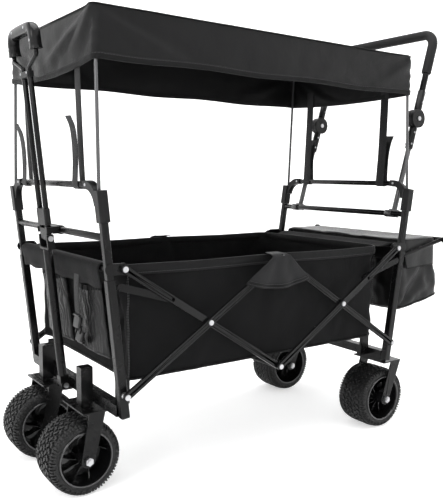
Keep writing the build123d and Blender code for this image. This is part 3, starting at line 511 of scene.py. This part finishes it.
tub_cloth = cloth("tub_cloth", (0.0030, 0.0030, 0.0032), specular=0.07)
binding = cloth("binding_tape", (0.0036, 0.0036, 0.0038), rough=0.55, weave=1.6, specular=0.10)
thread = finish("thread", (0.030, 0.030, 0.031), 0.6)
tub_low, tub_rise, tub_side, tub_mid_x = 0.2885, 0.2645, 0.266, -0.082
tub_folds = []
for way in (-1, 1):
    y = 0.268 * way
    tub_folds += fan((-0.470, y, 0.548), (-0.460, y, 0.30), (-0.20, y, 0.44), 5, 0.0038, 0.016)
    tub_folds += fan((0.330, y, 0.548), (0.320, y, 0.30), (0.10, y, 0.42), 5, 0.0038, 0.016)
    tub_folds += fan((-0.068, y, 0.550), (-0.20, y, 0.36), (0.06, y, 0.36), 6, 0.0042, 0.018)
    tub_folds += fan((-0.30, y, 0.292), (-0.42, y, 0.40), (-0.16, y, 0.40), 5, 0.0030, 0.014)
    tub_folds += fan((0.16, y, 0.292), (0.06, y, 0.40), (0.28, y, 0.40), 5, 0.0030, 0.014)
edge_path = outline(-0.5035, 0.3395, tub_side, 0.040, 0.0115)
middle = Vector((tub_mid_x, 0, 0))
rows = []
for k in range(1, 12):
    t = k / 12
    row = []
    for p in edge_path:
        q = middle.lerp(Vector((p.x, p.y, 0)), t)
        z = 0.2905 - 0.0012 * math.sin(math.pi * t) ** 2
        row.append(Vector((q.x, q.y, z)) + tuck(p.x, p.y, 0) * t ** 4)
    rows.append(row)
for k in range(28):
    t = k / 27
    row = []
    for p in edge_path:
        start = Vector((p.x, p.y, 0))
        if k == 0:
            start -= Vector((p.z, p.w, 0)) * 0.004
        row.append(tub_point(start, Vector((p.z, p.w, 0)), 0.2895 + 0.2635 * t))
    rows.append(row)
tub = put("tub_bag", [closed(rows, (middle.x, 0, 0.2900))], tub_cloth, "rear_upper", sharp=60)
thicken(tub, 0.0026)
rim_row, base_row = rows[-1], rows[12]
hem_section = [(0.0225, 0.0006), (0.0215, 0.0022), (0.012, 0.0028), (0.002, 0.0026), (-0.0016, 0.0010)]
hem_section += [(-0.0016, -0.0030), (0.002, -0.0046), (0.0215, -0.0042), (0.0225, -0.0026)]
hem = [beside(edge_path, rim_row, out, -drop) for drop, out in hem_section]
tub_hem = put("tub_rim_hem", [skin(hem)], binding, "rear_upper", sharp=60)
cord_rows, cord_radius = [], 0.0024
for p, q in zip(edge_path, base_row):
    ring = []
    for k in range(8):
        a = k * math.pi / 4
        out = 0.0005 + cord_radius * math.cos(a)
        ring.append(Vector((q.x + p.z * out, q.y + p.w * out, 0.2925 + cord_radius * math.sin(a))))
    cord_rows.append(ring)
tub_piping = put("tub_base_piping", [skin(cord_rows, loop=True)], binding, "rear_upper")
lines = []
for x in (-0.4775, -0.4735, 0.3200, 0.3160):
    for way in (-1, 1):
        foot, out = Vector((x, tub_side * way, 0)), Vector((0, way, 0))
        spots = [tub_point(foot, out, 0.297 + 0.0085 * k) for k in range(28)]
        lines.append([p + Vector((0, 0.0004 * way, 0)) for p in spots])
tub_seams = put("tub_seam_thread", stitches(lines), thread, "rear_upper")
line = beside(edge_path, rim_row, 0.0027, -0.0175)
rim_thread = put("tub_hem_thread", stitches([line + line[:1]]), thread, "rear_upper")
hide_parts("tub")
sewn_on = [tub_hem, tub_piping, tub_seams, rim_thread]
for obj in [tub] + sewn_on:
    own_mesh(obj)


# ---- tub rear band ----------------------------------------------------------
# A band sewn to the tub's rear edge. It goes over the rear rim bar and back down behind it, so the
# tub hangs from the bar.
band_half = 0.246
over_bar = [(0.3365, 0.5440), (0.3400, 0.5525), (0.3600, 0.5490), (0.3850, 0.5510), (0.4080, 0.5555)]
over_bar += [(0.4150, 0.5570), (0.4210, 0.5575), (0.4280, 0.5545), (0.4305, 0.5480), (0.4300, 0.5380)]
over_bar += [(0.4290, 0.5200), (0.4285, 0.5060)]
rows = []
for k in range(25):
    t = k / 24
    y = -band_half + 2 * band_half * t
    row = []
    for i, (x, z) in enumerate(over_bar):
        dip = 0.004 * noise.noise(Vector((x * 12, y * 14, 5))) * (i in (2, 3, 9, 10, 11))
        row.append(Vector((x, y, z + dip - 0.003 * math.sin(math.pi * t) * (i in (2, 3)))))
    rows.append(row)
rear_band = put("tub_rear_band", [skin(rows, ring=False)], tub_cloth, "rear_upper", sharp=180)
thicken(rear_band, 0.0018)
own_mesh(rear_band)


# ---- floor mat --------------------------------------------------------------
# A thin padded mat in four stitched panels, stiffened by boards, lying loose on the tub floor and
# folding up along the seams between the panels.
def pad(x0, x1, y1, low, high, nx, ny):
    """A stuffed panel, thin along its seams and plump in the middle."""
    sheets = []
    for side in (1, -1):
        grid = []
        for i in range(nx + 1):
            row = []
            for j in range(ny + 1):
                u, v = i / nx, j / ny
                x, y = x0 + (x1 - x0) * u, y1 * (2 * v - 1)
                puff = (1 - (2 * u - 1) ** 8) ** 0.5 * (1 - (2 * v - 1) ** 12) ** 0.5
                ripple = 0.0006 * noise.noise(Vector((x * 22, y * 22, side)))
                mid = (low + high) / 2
                row.append(Vector((x, y, mid + side * (high - low) / 2 * puff + ripple * puff)))
            grid.append(row if side > 0 else row[::-1])
        sheets.append(skin(grid, ring=False))
    return sheets


mat_cloth = cloth("mat_cloth", (0.0045, 0.0045, 0.0048), rough=0.8)
panels = []
cuts = (-0.458, -0.261, -0.064, 0.133, 0.330)
for x0, x1 in zip(cuts, cuts[1:]):
    panels += pad(x0, x1, 0.246, 0.2918, 0.3040, 20, 36)
mat = put("mat_panels", panels, mat_cloth, "rear_upper", sharp=70)
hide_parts("floor_mat")
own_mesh(mat)


# ---- side caps --------------------------------------------------------------
# A cloth hood sewn to each side of the rim and draped over the crossing of the links, so that
# fingers stay out of the scissor. Its lower hem is stitched twice.
def cap_point(u, v, way, out=0.0):
    """A point on a hood, u from -1 to 1 along it and v from 0 at the rim to 1 at the hem."""
    wide = v ** 0.9
    front_x, rear_x = -0.087 - 0.091 * wide, -0.049 + 0.074 * wide
    x = front_x + (rear_x - front_x) * (u + 1) / 2
    hem_z = 0.4725 + 0.018 * abs(u) ** 1.8
    z = 0.5565 - (0.5565 - hem_z) * v + 0.0035 * math.exp(-(((v - 0.05) / 0.06) ** 2))
    y = 0.2620 + 0.0455 * min(1.0, v / 0.09) ** 0.6
    y += 0.0030 * math.sin(u * 7.5 + 0.6) * v ** 1.2 * (1 - 0.3 * abs(u))
    y += 0.0014 * noise.noise(Vector((x * 40, z * 40, way)))
    y -= 0.0045 * max(0.0, abs(u) - 0.75) / 0.25 * v
    return Vector((x, way * (y + out), z))


hood_cloth = cloth("hood_cloth", (0.0075, 0.0075, 0.0080), rough=0.55, specular=0.14)
hands = ((-1, "right"), (1, "left"))
hem_section = [(0.86, 0.0006), (0.87, 0.0016), (0.93, 0.0020), (0.99, 0.0017)]
hem_section += [(1.02, 0.0006), (1.02, -0.0010), (0.99, -0.0016), (0.87, -0.0014)]
for way, hand in hands:
    rows = [[cap_point(-1 + 2 * i / 36, k / 22, way) for i in range(37)] for k in range(23)]
    hood = put(f"{hand}_hood", [skin(rows, ring=False)], hood_cloth, "rear_upper", sharp=180)
    thicken(hood, 0.0016, offset=0)
    rows = [[cap_point(-1 + 2 * i / 36, v, way, out) for i in range(37)] for v, out in hem_section]
    hood_hem = put(f"{hand}_hood_hem", [skin(rows, ring=False)], binding, "rear_upper", sharp=60)
    lines = [[cap_point(-0.98 + 1.96 * i / 48, v, way, 0.0022) for i in range(49)] for v in (0.885, 0.975)]
    hood_thread = put(f"{hand}_hood_thread", stitches(lines, 0.0052, 0.0034), thread, "rear_upper")
    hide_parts("side_caps")
    sewn_on = [hood_hem, hood_thread]
    for obj in [hood] + sewn_on:
        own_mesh(obj)


# ---- front panel ------------------------------------------------------------
# The front of the tub folds over the front rim bar. Two gathered pockets are sewn under it, and a
# webbing strap with a side-release buckle runs down between them.
def smooth_path(points, count):
    """A smooth path through the given points."""
    points = [Vector(p) for p in points]
    ext = [points[0] * 2 - points[1]] + points + [points[-1] * 2 - points[-2]]
    spans = len(points) - 1
    path = []
    for i in range(count + 1):
        s = min(spans - 1e-9, spans * i / count)
        k, t = int(s), s - int(s)
        a, b, c, d = ext[k : k + 4]
        curve, rest = 2 * a - 5 * b + 4 * c - d, 3 * b - a - 3 * c + d
        path.append(0.5 * (2 * b + (c - a) * t + curve * t * t + rest * t ** 3))
    return path


def sweep(path, section, side=(0, 1, 0), loop=False):
    """A section carried along a path, its width kept along side."""
    rows = []
    for i, p in enumerate(path):
        before = path[i - 1] if i or loop else p
        after = path[(i + 1) % len(path)] if i < len(path) - 1 or loop else p
        along = (after - before).normalized()
        across = Vector(side)
        across = (across - along * across.dot(along)).normalized()
        out = along.cross(across)
        rows.append([p + across * a + out * b for a, b in section])
    return skin(rows, loop=loop, ends=not loop)


def tape(width, thick):
    """The section of a woven strap, with thinner edges."""
    w, t = width / 2, thick / 2
    half = [(-w, -t * 0.4), (-w * 0.9, -t), (w * 0.9, -t), (w, -t * 0.4)]
    return half + [(-u, -v) for u, v in half]


def slab(centre, size, corner=0.003, tilt=(0, 0, 0)):
    """A moulded block with rounded upright edges and softened ends; size is along x, y and z."""
    x, y, z = (s / 2 for s in size)
    rows = []
    turn = Matrix.Identity(3)
    for angle, axis in zip(tilt, "XYZ"):
        turn = turn @ Matrix.Rotation(angle, 3, axis)
    ring = outline(-x, x, y, min(corner, x * 0.95, y * 0.95), 1.0)
    for share, lift in ((0.86, -1), (0.97, -0.93), (1, -0.8), (1, 0.8), (0.97, 0.93), (0.86, 1)):
        rows.append([Vector(centre) + turn @ Vector((p.x * share, p.y * share, z * lift)) for p in ring])
    return skin(rows, ends=True)


webbing = cloth("webbing", (0.0075, 0.0075, 0.0080), rough=0.5, weave=2.2, specular=0.16)
buckle_plastic = finish("buckle_plastic", (0.0060, 0.0060, 0.0063), 0.3, specular=0.3)
over_bar = [(-0.5050, 0.5420), (-0.5060, 0.5530), (-0.5120, 0.5560), (-0.5200, 0.5575), (-0.5270, 0.5580)]
over_bar += [(-0.5345, 0.5545), (-0.5375, 0.5480), (-0.5375, 0.5400), (-0.5350, 0.5280)]
over_bar += [(-0.5320, 0.5150), (-0.5300, 0.5000)]
rows = []
for k in range(49):
    y = -band_half + 2 * band_half * (k / 48)
    row = []
    for i, (x, z) in enumerate(over_bar):
        swing = 0.0030 * noise.noise(Vector((z * 18, y * 20, 9))) * (i > 6)
        pull = 0.004 * math.sin(y * 34 + 1.0) ** 2 * (i == 10)
        row.append(Vector((x + swing, y, z + pull)))
    rows.append(row)
front_band = put("tub_front_band", [skin(rows, ring=False)], tub_cloth, "front_upper", sharp=180)
thicken(front_band, 0.0018)
pocket_cloth = cloth("pocket_cloth", (0.0024, 0.0024, 0.0026), rough=0.34, weave=1.2, specular=0.24)
elastic_section = [(-0.0060, -0.0012), (0.0060, -0.0012), (0.0060, 0.0012), (-0.0060, 0.0012)]
for way, hand in hands:
    rows = []
    for k in range(33):
        v = k / 32
        row = []
        for i in range(61):
            u = i / 60
            wide = 0.157 - 0.012 * v
            y = way * (0.026 + 0.006 * v + wide * u)
            z = 0.322 + 0.166 * v + 0.004 * math.cos(2 * math.pi * u) * v
            bulge = (math.sin(math.pi * u) ** 0.4) * (0.019 - 0.008 * v) * min(1, v / 0.08 + 0.25)
            pleat = 6.5 * u + 0.9 * noise.noise(Vector((u * 5, v * 4, way)))
            gather = 0.0042 * math.cos(2 * math.pi * pleat) * (0.35 + 0.65 * v)
            crush = 0.0060 * noise.noise(Vector((y * 26, z * 30, 2))) * (1.1 - v)
            set_in = 0.034 * (1 - (z - tub_low) / tub_rise) ** 0.8
            x = -0.5075 + set_in - bulge - abs(gather) - abs(crush) * math.sin(math.pi * u)
            row.append(Vector((x, y, z)))
        rows.append(row)
    pocket = put(f"{hand}_front_pocket", [skin(rows, ring=False)], pocket_cloth, "front_upper", sharp=180)
    thicken(pocket, 0.0014)
    top = [p + Vector((-0.0012, 0, 0)) for p in rows[-1]]
    gathered = sweep(top, elastic_section, side=(0, 0, 1))
    elastic = put(f"{hand}_pocket_elastic", [gathered], binding, "front_upper")
    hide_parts("front_pocket")
drop = [(-0.5340, -0.1200, 0.5300), (-0.5350, -0.1170, 0.505), (-0.5330, -0.1130, 0.470)]
drop += [(-0.5290, -0.1080, 0.430), (-0.5220, -0.1030, 0.385), (-0.5080, -0.0980, 0.343)]
drop = smooth_path(drop, 24)
strap = put("front_panel_strap", [sweep(drop, tape(0.028, 0.0016))], webbing, "front_upper")
catch = [slab((-0.5275, -0.1045, 0.402), (0.0085, 0.034, 0.026), 0.003, (0, 0.2, 0))]
catch += [slab((-0.5205, -0.1015, 0.366), (0.0080, 0.033, 0.024), 0.003, (0, 0.3, 0))]
for side in (-0.011, 0.011):
    catch += [slab((-0.5245, -0.1030 + side, 0.384), (0.0050, 0.0045, 0.020), 0.0015, (0, 0.25, 0))]
catch += [slab((-0.5295, -0.1055, 0.4190), (0.0070, 0.033, 0.0040), 0.0015)]
catch += [slab((-0.5180, -0.1000, 0.3510), (0.0070, 0.032, 0.0040), 0.0015)]
buckle = put("front_panel_buckle", catch, buckle_plastic, "front_upper")


# ---- rear bag ---------------------------------------------------------------
# A deep storage bag of the same cloth hung behind the tub on a steel carrier. It sags towards the
# front, and its side panels are crushed into small folds.
def bag_push(x, t):
    """How much farther back the bag reaches towards its bottom."""
    return 0.042 * max(0.0, (x - 0.4455) / 0.1525) * (1 - t) ** 0.9


def bag_low(x):
    """The height of the bag's sagging bottom."""
    return 0.3465 + 0.032 * max(0.0, min(1.0, (x - 0.448) / 0.145)) ** 1.2

def bag_wave(x, y):
    """The slow waves of the bag's bottom."""
    return 0.003 * noise.noise(Vector((x * 20, y * 16, 3)))


def piping(name, path, radius):
    """A round cord sewn into a seam, all the way round."""
    ring = [(radius * math.cos(a), radius * math.sin(a)) for a in (0, 1.05, 2.1, 3.14, 4.19, 5.24)]
    cord = put(name, [sweep(path, ring, side=(0, 0, 1), loop=True)], binding, "rear_upper")
    return cord


bag_cloth = cloth("bag_cloth", (0.0026, 0.0026, 0.0028), rough=0.36, specular=0.22)
bag_folds = []
for way in (-1, 1):
    y = 0.254 * way
    bag_folds += fan((0.595, y, 0.560), (0.46, y, 0.36), (0.59, y, 0.38), 6, 0.0060, 0.011)
    bag_folds += fan((0.450, y, 0.555), (0.46, y, 0.36), (0.58, y, 0.40), 5, 0.0055, 0.011)
    bag_folds += fan((0.455, y, 0.360), (0.59, y, 0.42), (0.55, y, 0.52), 5, 0.0055, 0.010)
for k in range(7):
    y = -0.24 + 0.08 * k
    bag_folds += fan((0.598, y, 0.400), (0.598, y - 0.09, 0.49), (0.598, y + 0.09, 0.49), 2, 0.0055, 0.014)
bag_path = outline(0.4455, 0.5980, 0.2540, 0.020, 0.0075)
bag_middle = Vector((0.522, 0, 0))
bag_rows = []
for k in range(1, 10):
    t = k / 10
    row = []
    for p in bag_path:
        q = bag_middle.lerp(Vector((p.x, p.y, 0)), t)
        z = bag_low(q.x) - 0.003 * (1 - t * t) + bag_wave(q.x, q.y)
        row.append(Vector((q.x + bag_push(q.x, 0), q.y, z)))
    bag_rows.append(row)
for k in range(30):
    t = k / 29
    row = []
    for p in bag_path:
        out = Vector((p.z, p.w, 0))
        low = bag_low(p.x) + 0.002
        q = Vector((p.x, p.y, low + (0.5620 - low) * t))
        q.x += bag_push(p.x, t)
        if k == 0:
            q -= out * 0.005
        lift = raised(q, bag_folds) * 1.3 + 0.006 * noise.noise(q * 13 + Vector((0, 4, 0)))
        lift += 0.0045 * noise.noise(q * 34)
        lift += 0.004 * math.sin(math.pi * t) - 0.004
        lift = max(-0.014, min(0.006, lift))
        row.append(q + out * lift + Vector((0, 0, bag_wave(p.x, p.y) * (1 - t))))
    bag_rows.append(row)
bag_centre = (bag_middle.x + 0.0210, 0, bag_low(bag_middle.x) - 0.003)
bag = put("storage_bag", [closed(bag_rows, bag_centre)], bag_cloth, "rear_upper", sharp=180)
thicken(bag, 0.0022)
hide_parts("rear_bag")
bag_piping = piping("bag_base_piping", beside(bag_path, bag_rows[10], 0.0010), 0.0020)


# ---- bag lid ----------------------------------------------------------------
# A flap of the bag's cloth, sewn along the rear rim bar. It lies over the open bag and hangs down
# round its rear and sides, with a piped seam along its lower edge and one corner standing up.
flap_path = outline(0.4430, 0.6005, 0.2590, 0.022, 0.0075)
flap_rows = []
for k in range(1, 13):
    t = k / 12.5
    row = []
    for p in flap_path:
        q = bag_middle.lerp(Vector((p.x, p.y, 0)), t)
        dip = 0.008 * math.cos(min(1, abs(q.y) / 0.25) * math.pi / 2) * math.sin(math.pi * (q.x - 0.44) / 0.165)
        wave = 0.003 * noise.noise(Vector((q.x * 17, q.y * 12, 8)))
        row.append(Vector((q.x, q.y, 0.5665 - dip + wave)))
    flap_rows.append(row)
for k in range(15):
    t = k / 14
    row = []
    for p in flap_path:
        share = max(0.0, min(1.0, (p.x - 0.4440) / 0.022))
        fall = 0.088 * share * share * (3 - 2 * share)
        fall -= 0.010 * max(0.0, (p.x - 0.44) / 0.16) * share
        raise_far = 0.014 * max(0.0, (p.x - 0.56) / 0.044) * max(0.0, (p.y - 0.15) / 0.11)
        z = 0.5635 - fall * t + raise_far * t
        q = Vector((p.x, p.y, z))
        lift = 0.004 * noise.noise(Vector((p.x * 20, p.y * 20, z * 12 + 3))) * (0.3 + t) + 0.0025 * t
        lift += 0.0035 * math.sin(p.y * 42 + z * 30) * (abs(p.y) < 0.235) * t * 0.6
        row.append(q + Vector((p.z, p.w, 0)) * (lift + 0.0010))
    flap_rows.append(row)
flap_centre = (bag_middle.x, 0, 0.5585)
flap = put("bag_lid", [closed(flap_rows, flap_centre)], bag_cloth, "rear_upper", sharp=180)
thicken(flap, 0.0022)
lid_piping = piping("bag_lid_piping", beside(flap_path, flap_rows[-1], 0.0008), 0.0022)
lid_seam = piping("bag_lid_seam", beside(flap_path, flap_rows[12], 0.0008), 0.0016)
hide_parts("bag_flap")


# ---- canopy -----------------------------------------------------------------
# A stretched cloth roof with a deep valance, its four corner pockets pulled down over the pole
# tops. The corner seams pucker, and the lower edge is bound with tape.
def canopy_hem(x, y):
    """The height of the valance's lower edge."""
    sag = 0.016 * math.sin(math.pi * (y + 0.262) / 0.524) ** 0.8 if abs(x + 0.05) > 0.49 else 0.0
    return 0.9895 - (sag if x < 0 else sag * 0.5) + 0.004 * math.sin(x * 9 + 1) ** 2


def canopy_lift(q):
    """How far the canopy cloth stands out of its plane."""
    lift = raised(q, canopy_folds) + 0.0026 * noise.noise(q * 8) + 0.0012 * noise.noise(q * 25)
    corner_x, corner_y = abs(q.x - roof_mid_x) - 0.497, abs(q.y) - 0.258
    corner = math.exp(-((corner_x / 0.016) ** 2) - (corner_y / 0.016) ** 2)
    lift += corner * 0.0013 * math.sin(q.z * 230)
    return lift


canopy_cloth = cloth("canopy_cloth", (0.0028, 0.0028, 0.0030), rough=0.40, specular=0.14)
canopy_folds = []
front, rear, top, low = -0.551, 0.452, 1.100, 0.985
for way in (-1, 1):
    y = 0.262 * way
    inner = y - 0.06 * way
    canopy_folds += fan((front, y, top), (front, inner, low), (front, y - 0.34 * way, low), 7, 0.0105, 0.014)
    canopy_folds += fan((rear, y, top), (rear, inner, low), (rear, y - 0.30 * way, low), 4, 0.0050, 0.014)
    canopy_folds += fan((front, y, top), (-0.50, y, 0.99), (-0.16, y, 1.00), 5, 0.0050, 0.014)
    canopy_folds += fan((rear, y, top), (0.40, y, 0.99), (0.08, y, 1.00), 5, 0.0050, 0.014)
    canopy_folds += fan((-0.545, y, 1.104), (-0.10, y, 1.104), (-0.30, 0, 1.104), 5, 0.0030, 0.020)
    canopy_folds += fan((0.445, y, 1.104), (0.00, y, 1.104), (0.20, 0, 1.104), 5, 0.0030, 0.020)
roof_path = outline(-0.5505, 0.4515, 0.2610, 0.014, 0.0085)
roof_mid_x = -0.0495
roof_middle = Vector((roof_mid_x, 0, 0))
roof_rows = []
for k in range(22):
    t = k / 21
    row = []
    for p in roof_path:
        low = canopy_hem(p.x, p.y)
        q = Vector((p.x, p.y, low + (1.0990 - low) * t))
        lift = canopy_lift(q) * (0.35 + 0.65 * math.sin(math.pi * min(1, 0.15 + t * 0.85)))
        lift = max(-0.010, min(0.006, lift)) + 0.0015
        row.append(q + Vector((p.z, p.w, 0)) * lift)
    roof_rows.append(row)
for k in range(22):
    t = 0.992 - 0.97 * k / 21
    row = []
    for p in roof_path:
        q = roof_middle.lerp(Vector((p.x, p.y, 0)), t)
        span = math.cos(math.pi * q.y / 0.53) * math.cos(math.pi * (q.x - roof_mid_x) / 1.01)
        q.z = 1.1030 - 0.013 * max(0, span) ** 0.7
        q.z += max(-0.004, min(0.002, raised(q, canopy_folds) * 0.6 + 0.0018 * noise.noise(q * 9)))
        row.append(q)
    roof_rows.append(row)
roof_centre = (roof_middle.x, 0, 1.0902)
roof = put("canopy_roof", [closed(roof_rows, roof_centre, end=True)], canopy_cloth, "rear_upper", sharp=75)
thicken(roof, 0.0015)
tape_section = [(0.0125, 0.0004), (0.0120, 0.0014), (0.0060, 0.0018), (0.0005, 0.0014)]
tape_section += [(-0.0012, 0.0000), (-0.0012, -0.0020), (0.0005, -0.0032), (0.0120, -0.0030)]
tape_rows = [beside(roof_path, roof_rows[0], out, up) for up, out in tape_section]
roof_tape = put("canopy_hem_tape", [skin(tape_rows)], binding, "rear_upper", sharp=60)
roof_seam = piping("canopy_edge_seam", beside(roof_path, roof_rows[21], 0.0006, 0.0012), 0.0014)
line = beside(roof_path, roof_rows[0], 0.0020, 0.0100)
roof_thread = put("canopy_hem_thread", stitches([line + line[:1]], 0.007, 0.0045), thread, "rear_upper")
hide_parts("canopy")
sewn_on = [roof_tape, roof_seam, roof_thread]
for obj in [roof] + sewn_on:
    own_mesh(obj)


# ---- canopy straps ----------------------------------------------------------
# Four webbing straps that hold the canopy down. Each is sewn inside the valance, goes under a top
# bar and comes back up outside it, where a hook-and-loop patch lets the loose end be pulled tight.
top_bars = (("front", -0.5465, 0.7280, -1, "front_upper"), ("rear", 0.4485, 0.7335, 1, "rear_upper"))
for end, bar_x, bar_z, way, body in top_bars:
    web, patches = [], []
    for hand in (-1, 1):
        y = 0.165 * hand
        run = [(0.0010, 0, 1.036), (0.0000, 0, 0.950), (-0.0040, 0.001, 0.830), (-0.0080, 0, bar_z + 0.022)]
        run += [(-0.0092, 0, bar_z), (-0.0056, 0, bar_z - 0.0082), (0, 0, bar_z - 0.0098)]
        run += [(0.0056, 0, bar_z - 0.0082), (0.0092, 0, bar_z), (0.0084, 0, bar_z + 0.022)]
        run += [(0.0080, 0.001, bar_z + 0.055)]
        run += [(0.0105, 0.002, 0.825), (0.0160, 0.004, 0.855), (0.0260, 0.005, 0.877)]
        path = smooth_path([(bar_x + way * u, y + v * hand, z) for u, v, z in run], 90)
        web.append(sweep(path, tape(0.0300, 0.0015)))
        patch = [p + Vector((-way * 0.0013, 0, 0)) for p in path[-24:-6]]
        patches.append(sweep(patch, tape(0.0255, 0.0014)))
        sewn = [p + Vector((way * 0.0009, 0, 0)) for p in path[-26:-20]]
        for edge in (-0.0085, 0.0085):
            patches += stitches([[p + Vector((0, edge, 0)) for p in sewn]], 0.004, 0.0028)
    straps = put(f"{end}_webbing", web, webbing, body, sharp=50)
    patch = put(f"{end}_strap_patches", patches, binding, body)
    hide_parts(f"{end}_straps")


# ---- pull grip --------------------------------------------------------------
# A glossy moulded handle, an upside-down U pushed over the two inner tubes and held by screws,
# with shallow finger ribs under its middle.
grip_path = [(-0.6040, 0.0715, 1.0290), (-0.6060, 0.0715, 1.0420), (-0.6075, 0.0712, 1.0550)]
grip_path += [(-0.6085, 0.0675, 1.0680), (-0.6090, 0.0590, 1.0755), (-0.6092, 0.0450, 1.0780)]
grip_path += [(-0.6093, 0.0220, 1.0788), (-0.6093, 0.0, 1.0790)]
grip_path += [(x, -y, z) for x, y, z in reversed(grip_path[:-1])]
path = smooth_path(grip_path, 120)
rows = []
for i, p in enumerate(path):
    before, after = path[max(0, i - 1)], path[min(len(path) - 1, i + 1)]
    along = (after - before).normalized()
    out = Vector((1, 0, 0))
    out = (out - along * out.dot(along)).normalized()
    side = along.cross(out)
    ripple = 0.0007 * math.cos(p.y * 2 * math.pi / 0.0095) * (abs(p.y) < 0.045)
    flare = 0.0012 * math.exp(-((min(i, len(path) - 1 - i) / 3) ** 2))
    row = []
    for k in range(24):
        a = 2 * math.pi * k / 24
        c, s = math.cos(a), math.sin(a)
        wide = math.copysign(abs(c) ** 0.8, c) * (0.0136 + flare)
        deep = math.copysign(abs(s) ** 0.8, s) * (0.0130 + flare)
        low = ripple if s * side.z < 0 else 0
        row.append(p + out * wide + side * (deep + math.copysign(low, s)))
    rows.append(row)
grip_gloss = finish("grip_gloss", (0.0040, 0.0040, 0.0042), 0.22, specular=0.22)
grip = put("pull_handle_grip", [skin(rows, ends=True)], grip_gloss, "pull_grip", sharp=50)
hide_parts("pull_grip")


def screw(place, facing, radius=0.0030, head=0.0014):
    """A domed screw or rivet head with a shallow recess."""
    profile = [(radius, -0.0006), (radius, head * 0.35), (radius * 0.86, head * 0.8), (radius * 0.55, head)]
    profile += [(radius * 0.42, head * 0.95), (radius * 0.30, head * 0.35), (0.0001, head * 0.30)]
    turn = Vector((0, 0, 1)).rotation_difference(Vector(facing)).to_matrix()
    points, faces = skin(turned(profile, 16))
    return [turn @ p + Vector(place) for p in points], faces


screws = [screw((-0.6222, y, 1.0780), (-1, 0, 0)) for y in (-0.040, 0.040)]
screws += [screw((-0.6196, y, 1.0460), (-1, 0, 0)) for y in (-0.0715, 0.0715)]
grip_screws = put("pull_grip_screws", screws, zinc, "pull_grip")


# ---- push handle grip -------------------------------------------------------
# Black foam sleeve slid over the bent push bar, softly rounded at each end, its skin slightly
# rough and springy.
foam = finish("foam_skin", (0.0080, 0.0080, 0.0083), 0.75, relief=0.8, size=700, specular=0.22)
dress(("push_grip",), foam, 0.0025)


# ---- rivets and screws ------------------------------------------------------
# Bright steel rivets and screws that hold the moulded sockets, hinge sleeves and collar to the
# tubes, pressed in from both sides. Only their domed heads show.
heads = {}


def rivet(body, place, facing, radius=0.0034):
    """Adds a bright head on a body."""
    heads.setdefault(body, []).append(screw(place, facing, radius))


push_x, push_z, lean_x, lean_z = 0.5385, 0.9315, 0.326, 0.945
sleeve_rivets = (("rear_upper", -0.082), ("rear_upper", -0.045), ("push_bar", 0.052), ("push_bar", 0.082))
for hand in (-1, 1):
    for end, x, z, way, body in top_bars:
        rivet(body, (x - 0.0088, 0.2165 * hand, z), (-1, 0, 0))
        rivet(body, (x + 0.0088, 0.2165 * hand, z), (1, 0, 0))
    for body, along in sleeve_rivets:
        x, z = push_x + along * lean_x, push_z + along * lean_z
        rivet(body, (x, 0.2232 * hand, z), (0, hand, 0), 0.0030)
        rivet(body, (x, 0.1998 * hand, z), (0, -hand, 0), 0.0030)
    rivet("pull_upper", (-0.6098, 0.020 * hand, 0.982), (-1, 0, 0), 0.0026)
for body, lumps in heads.items():
    put(f"{body}_rivet_heads", lumps, zinc, body)
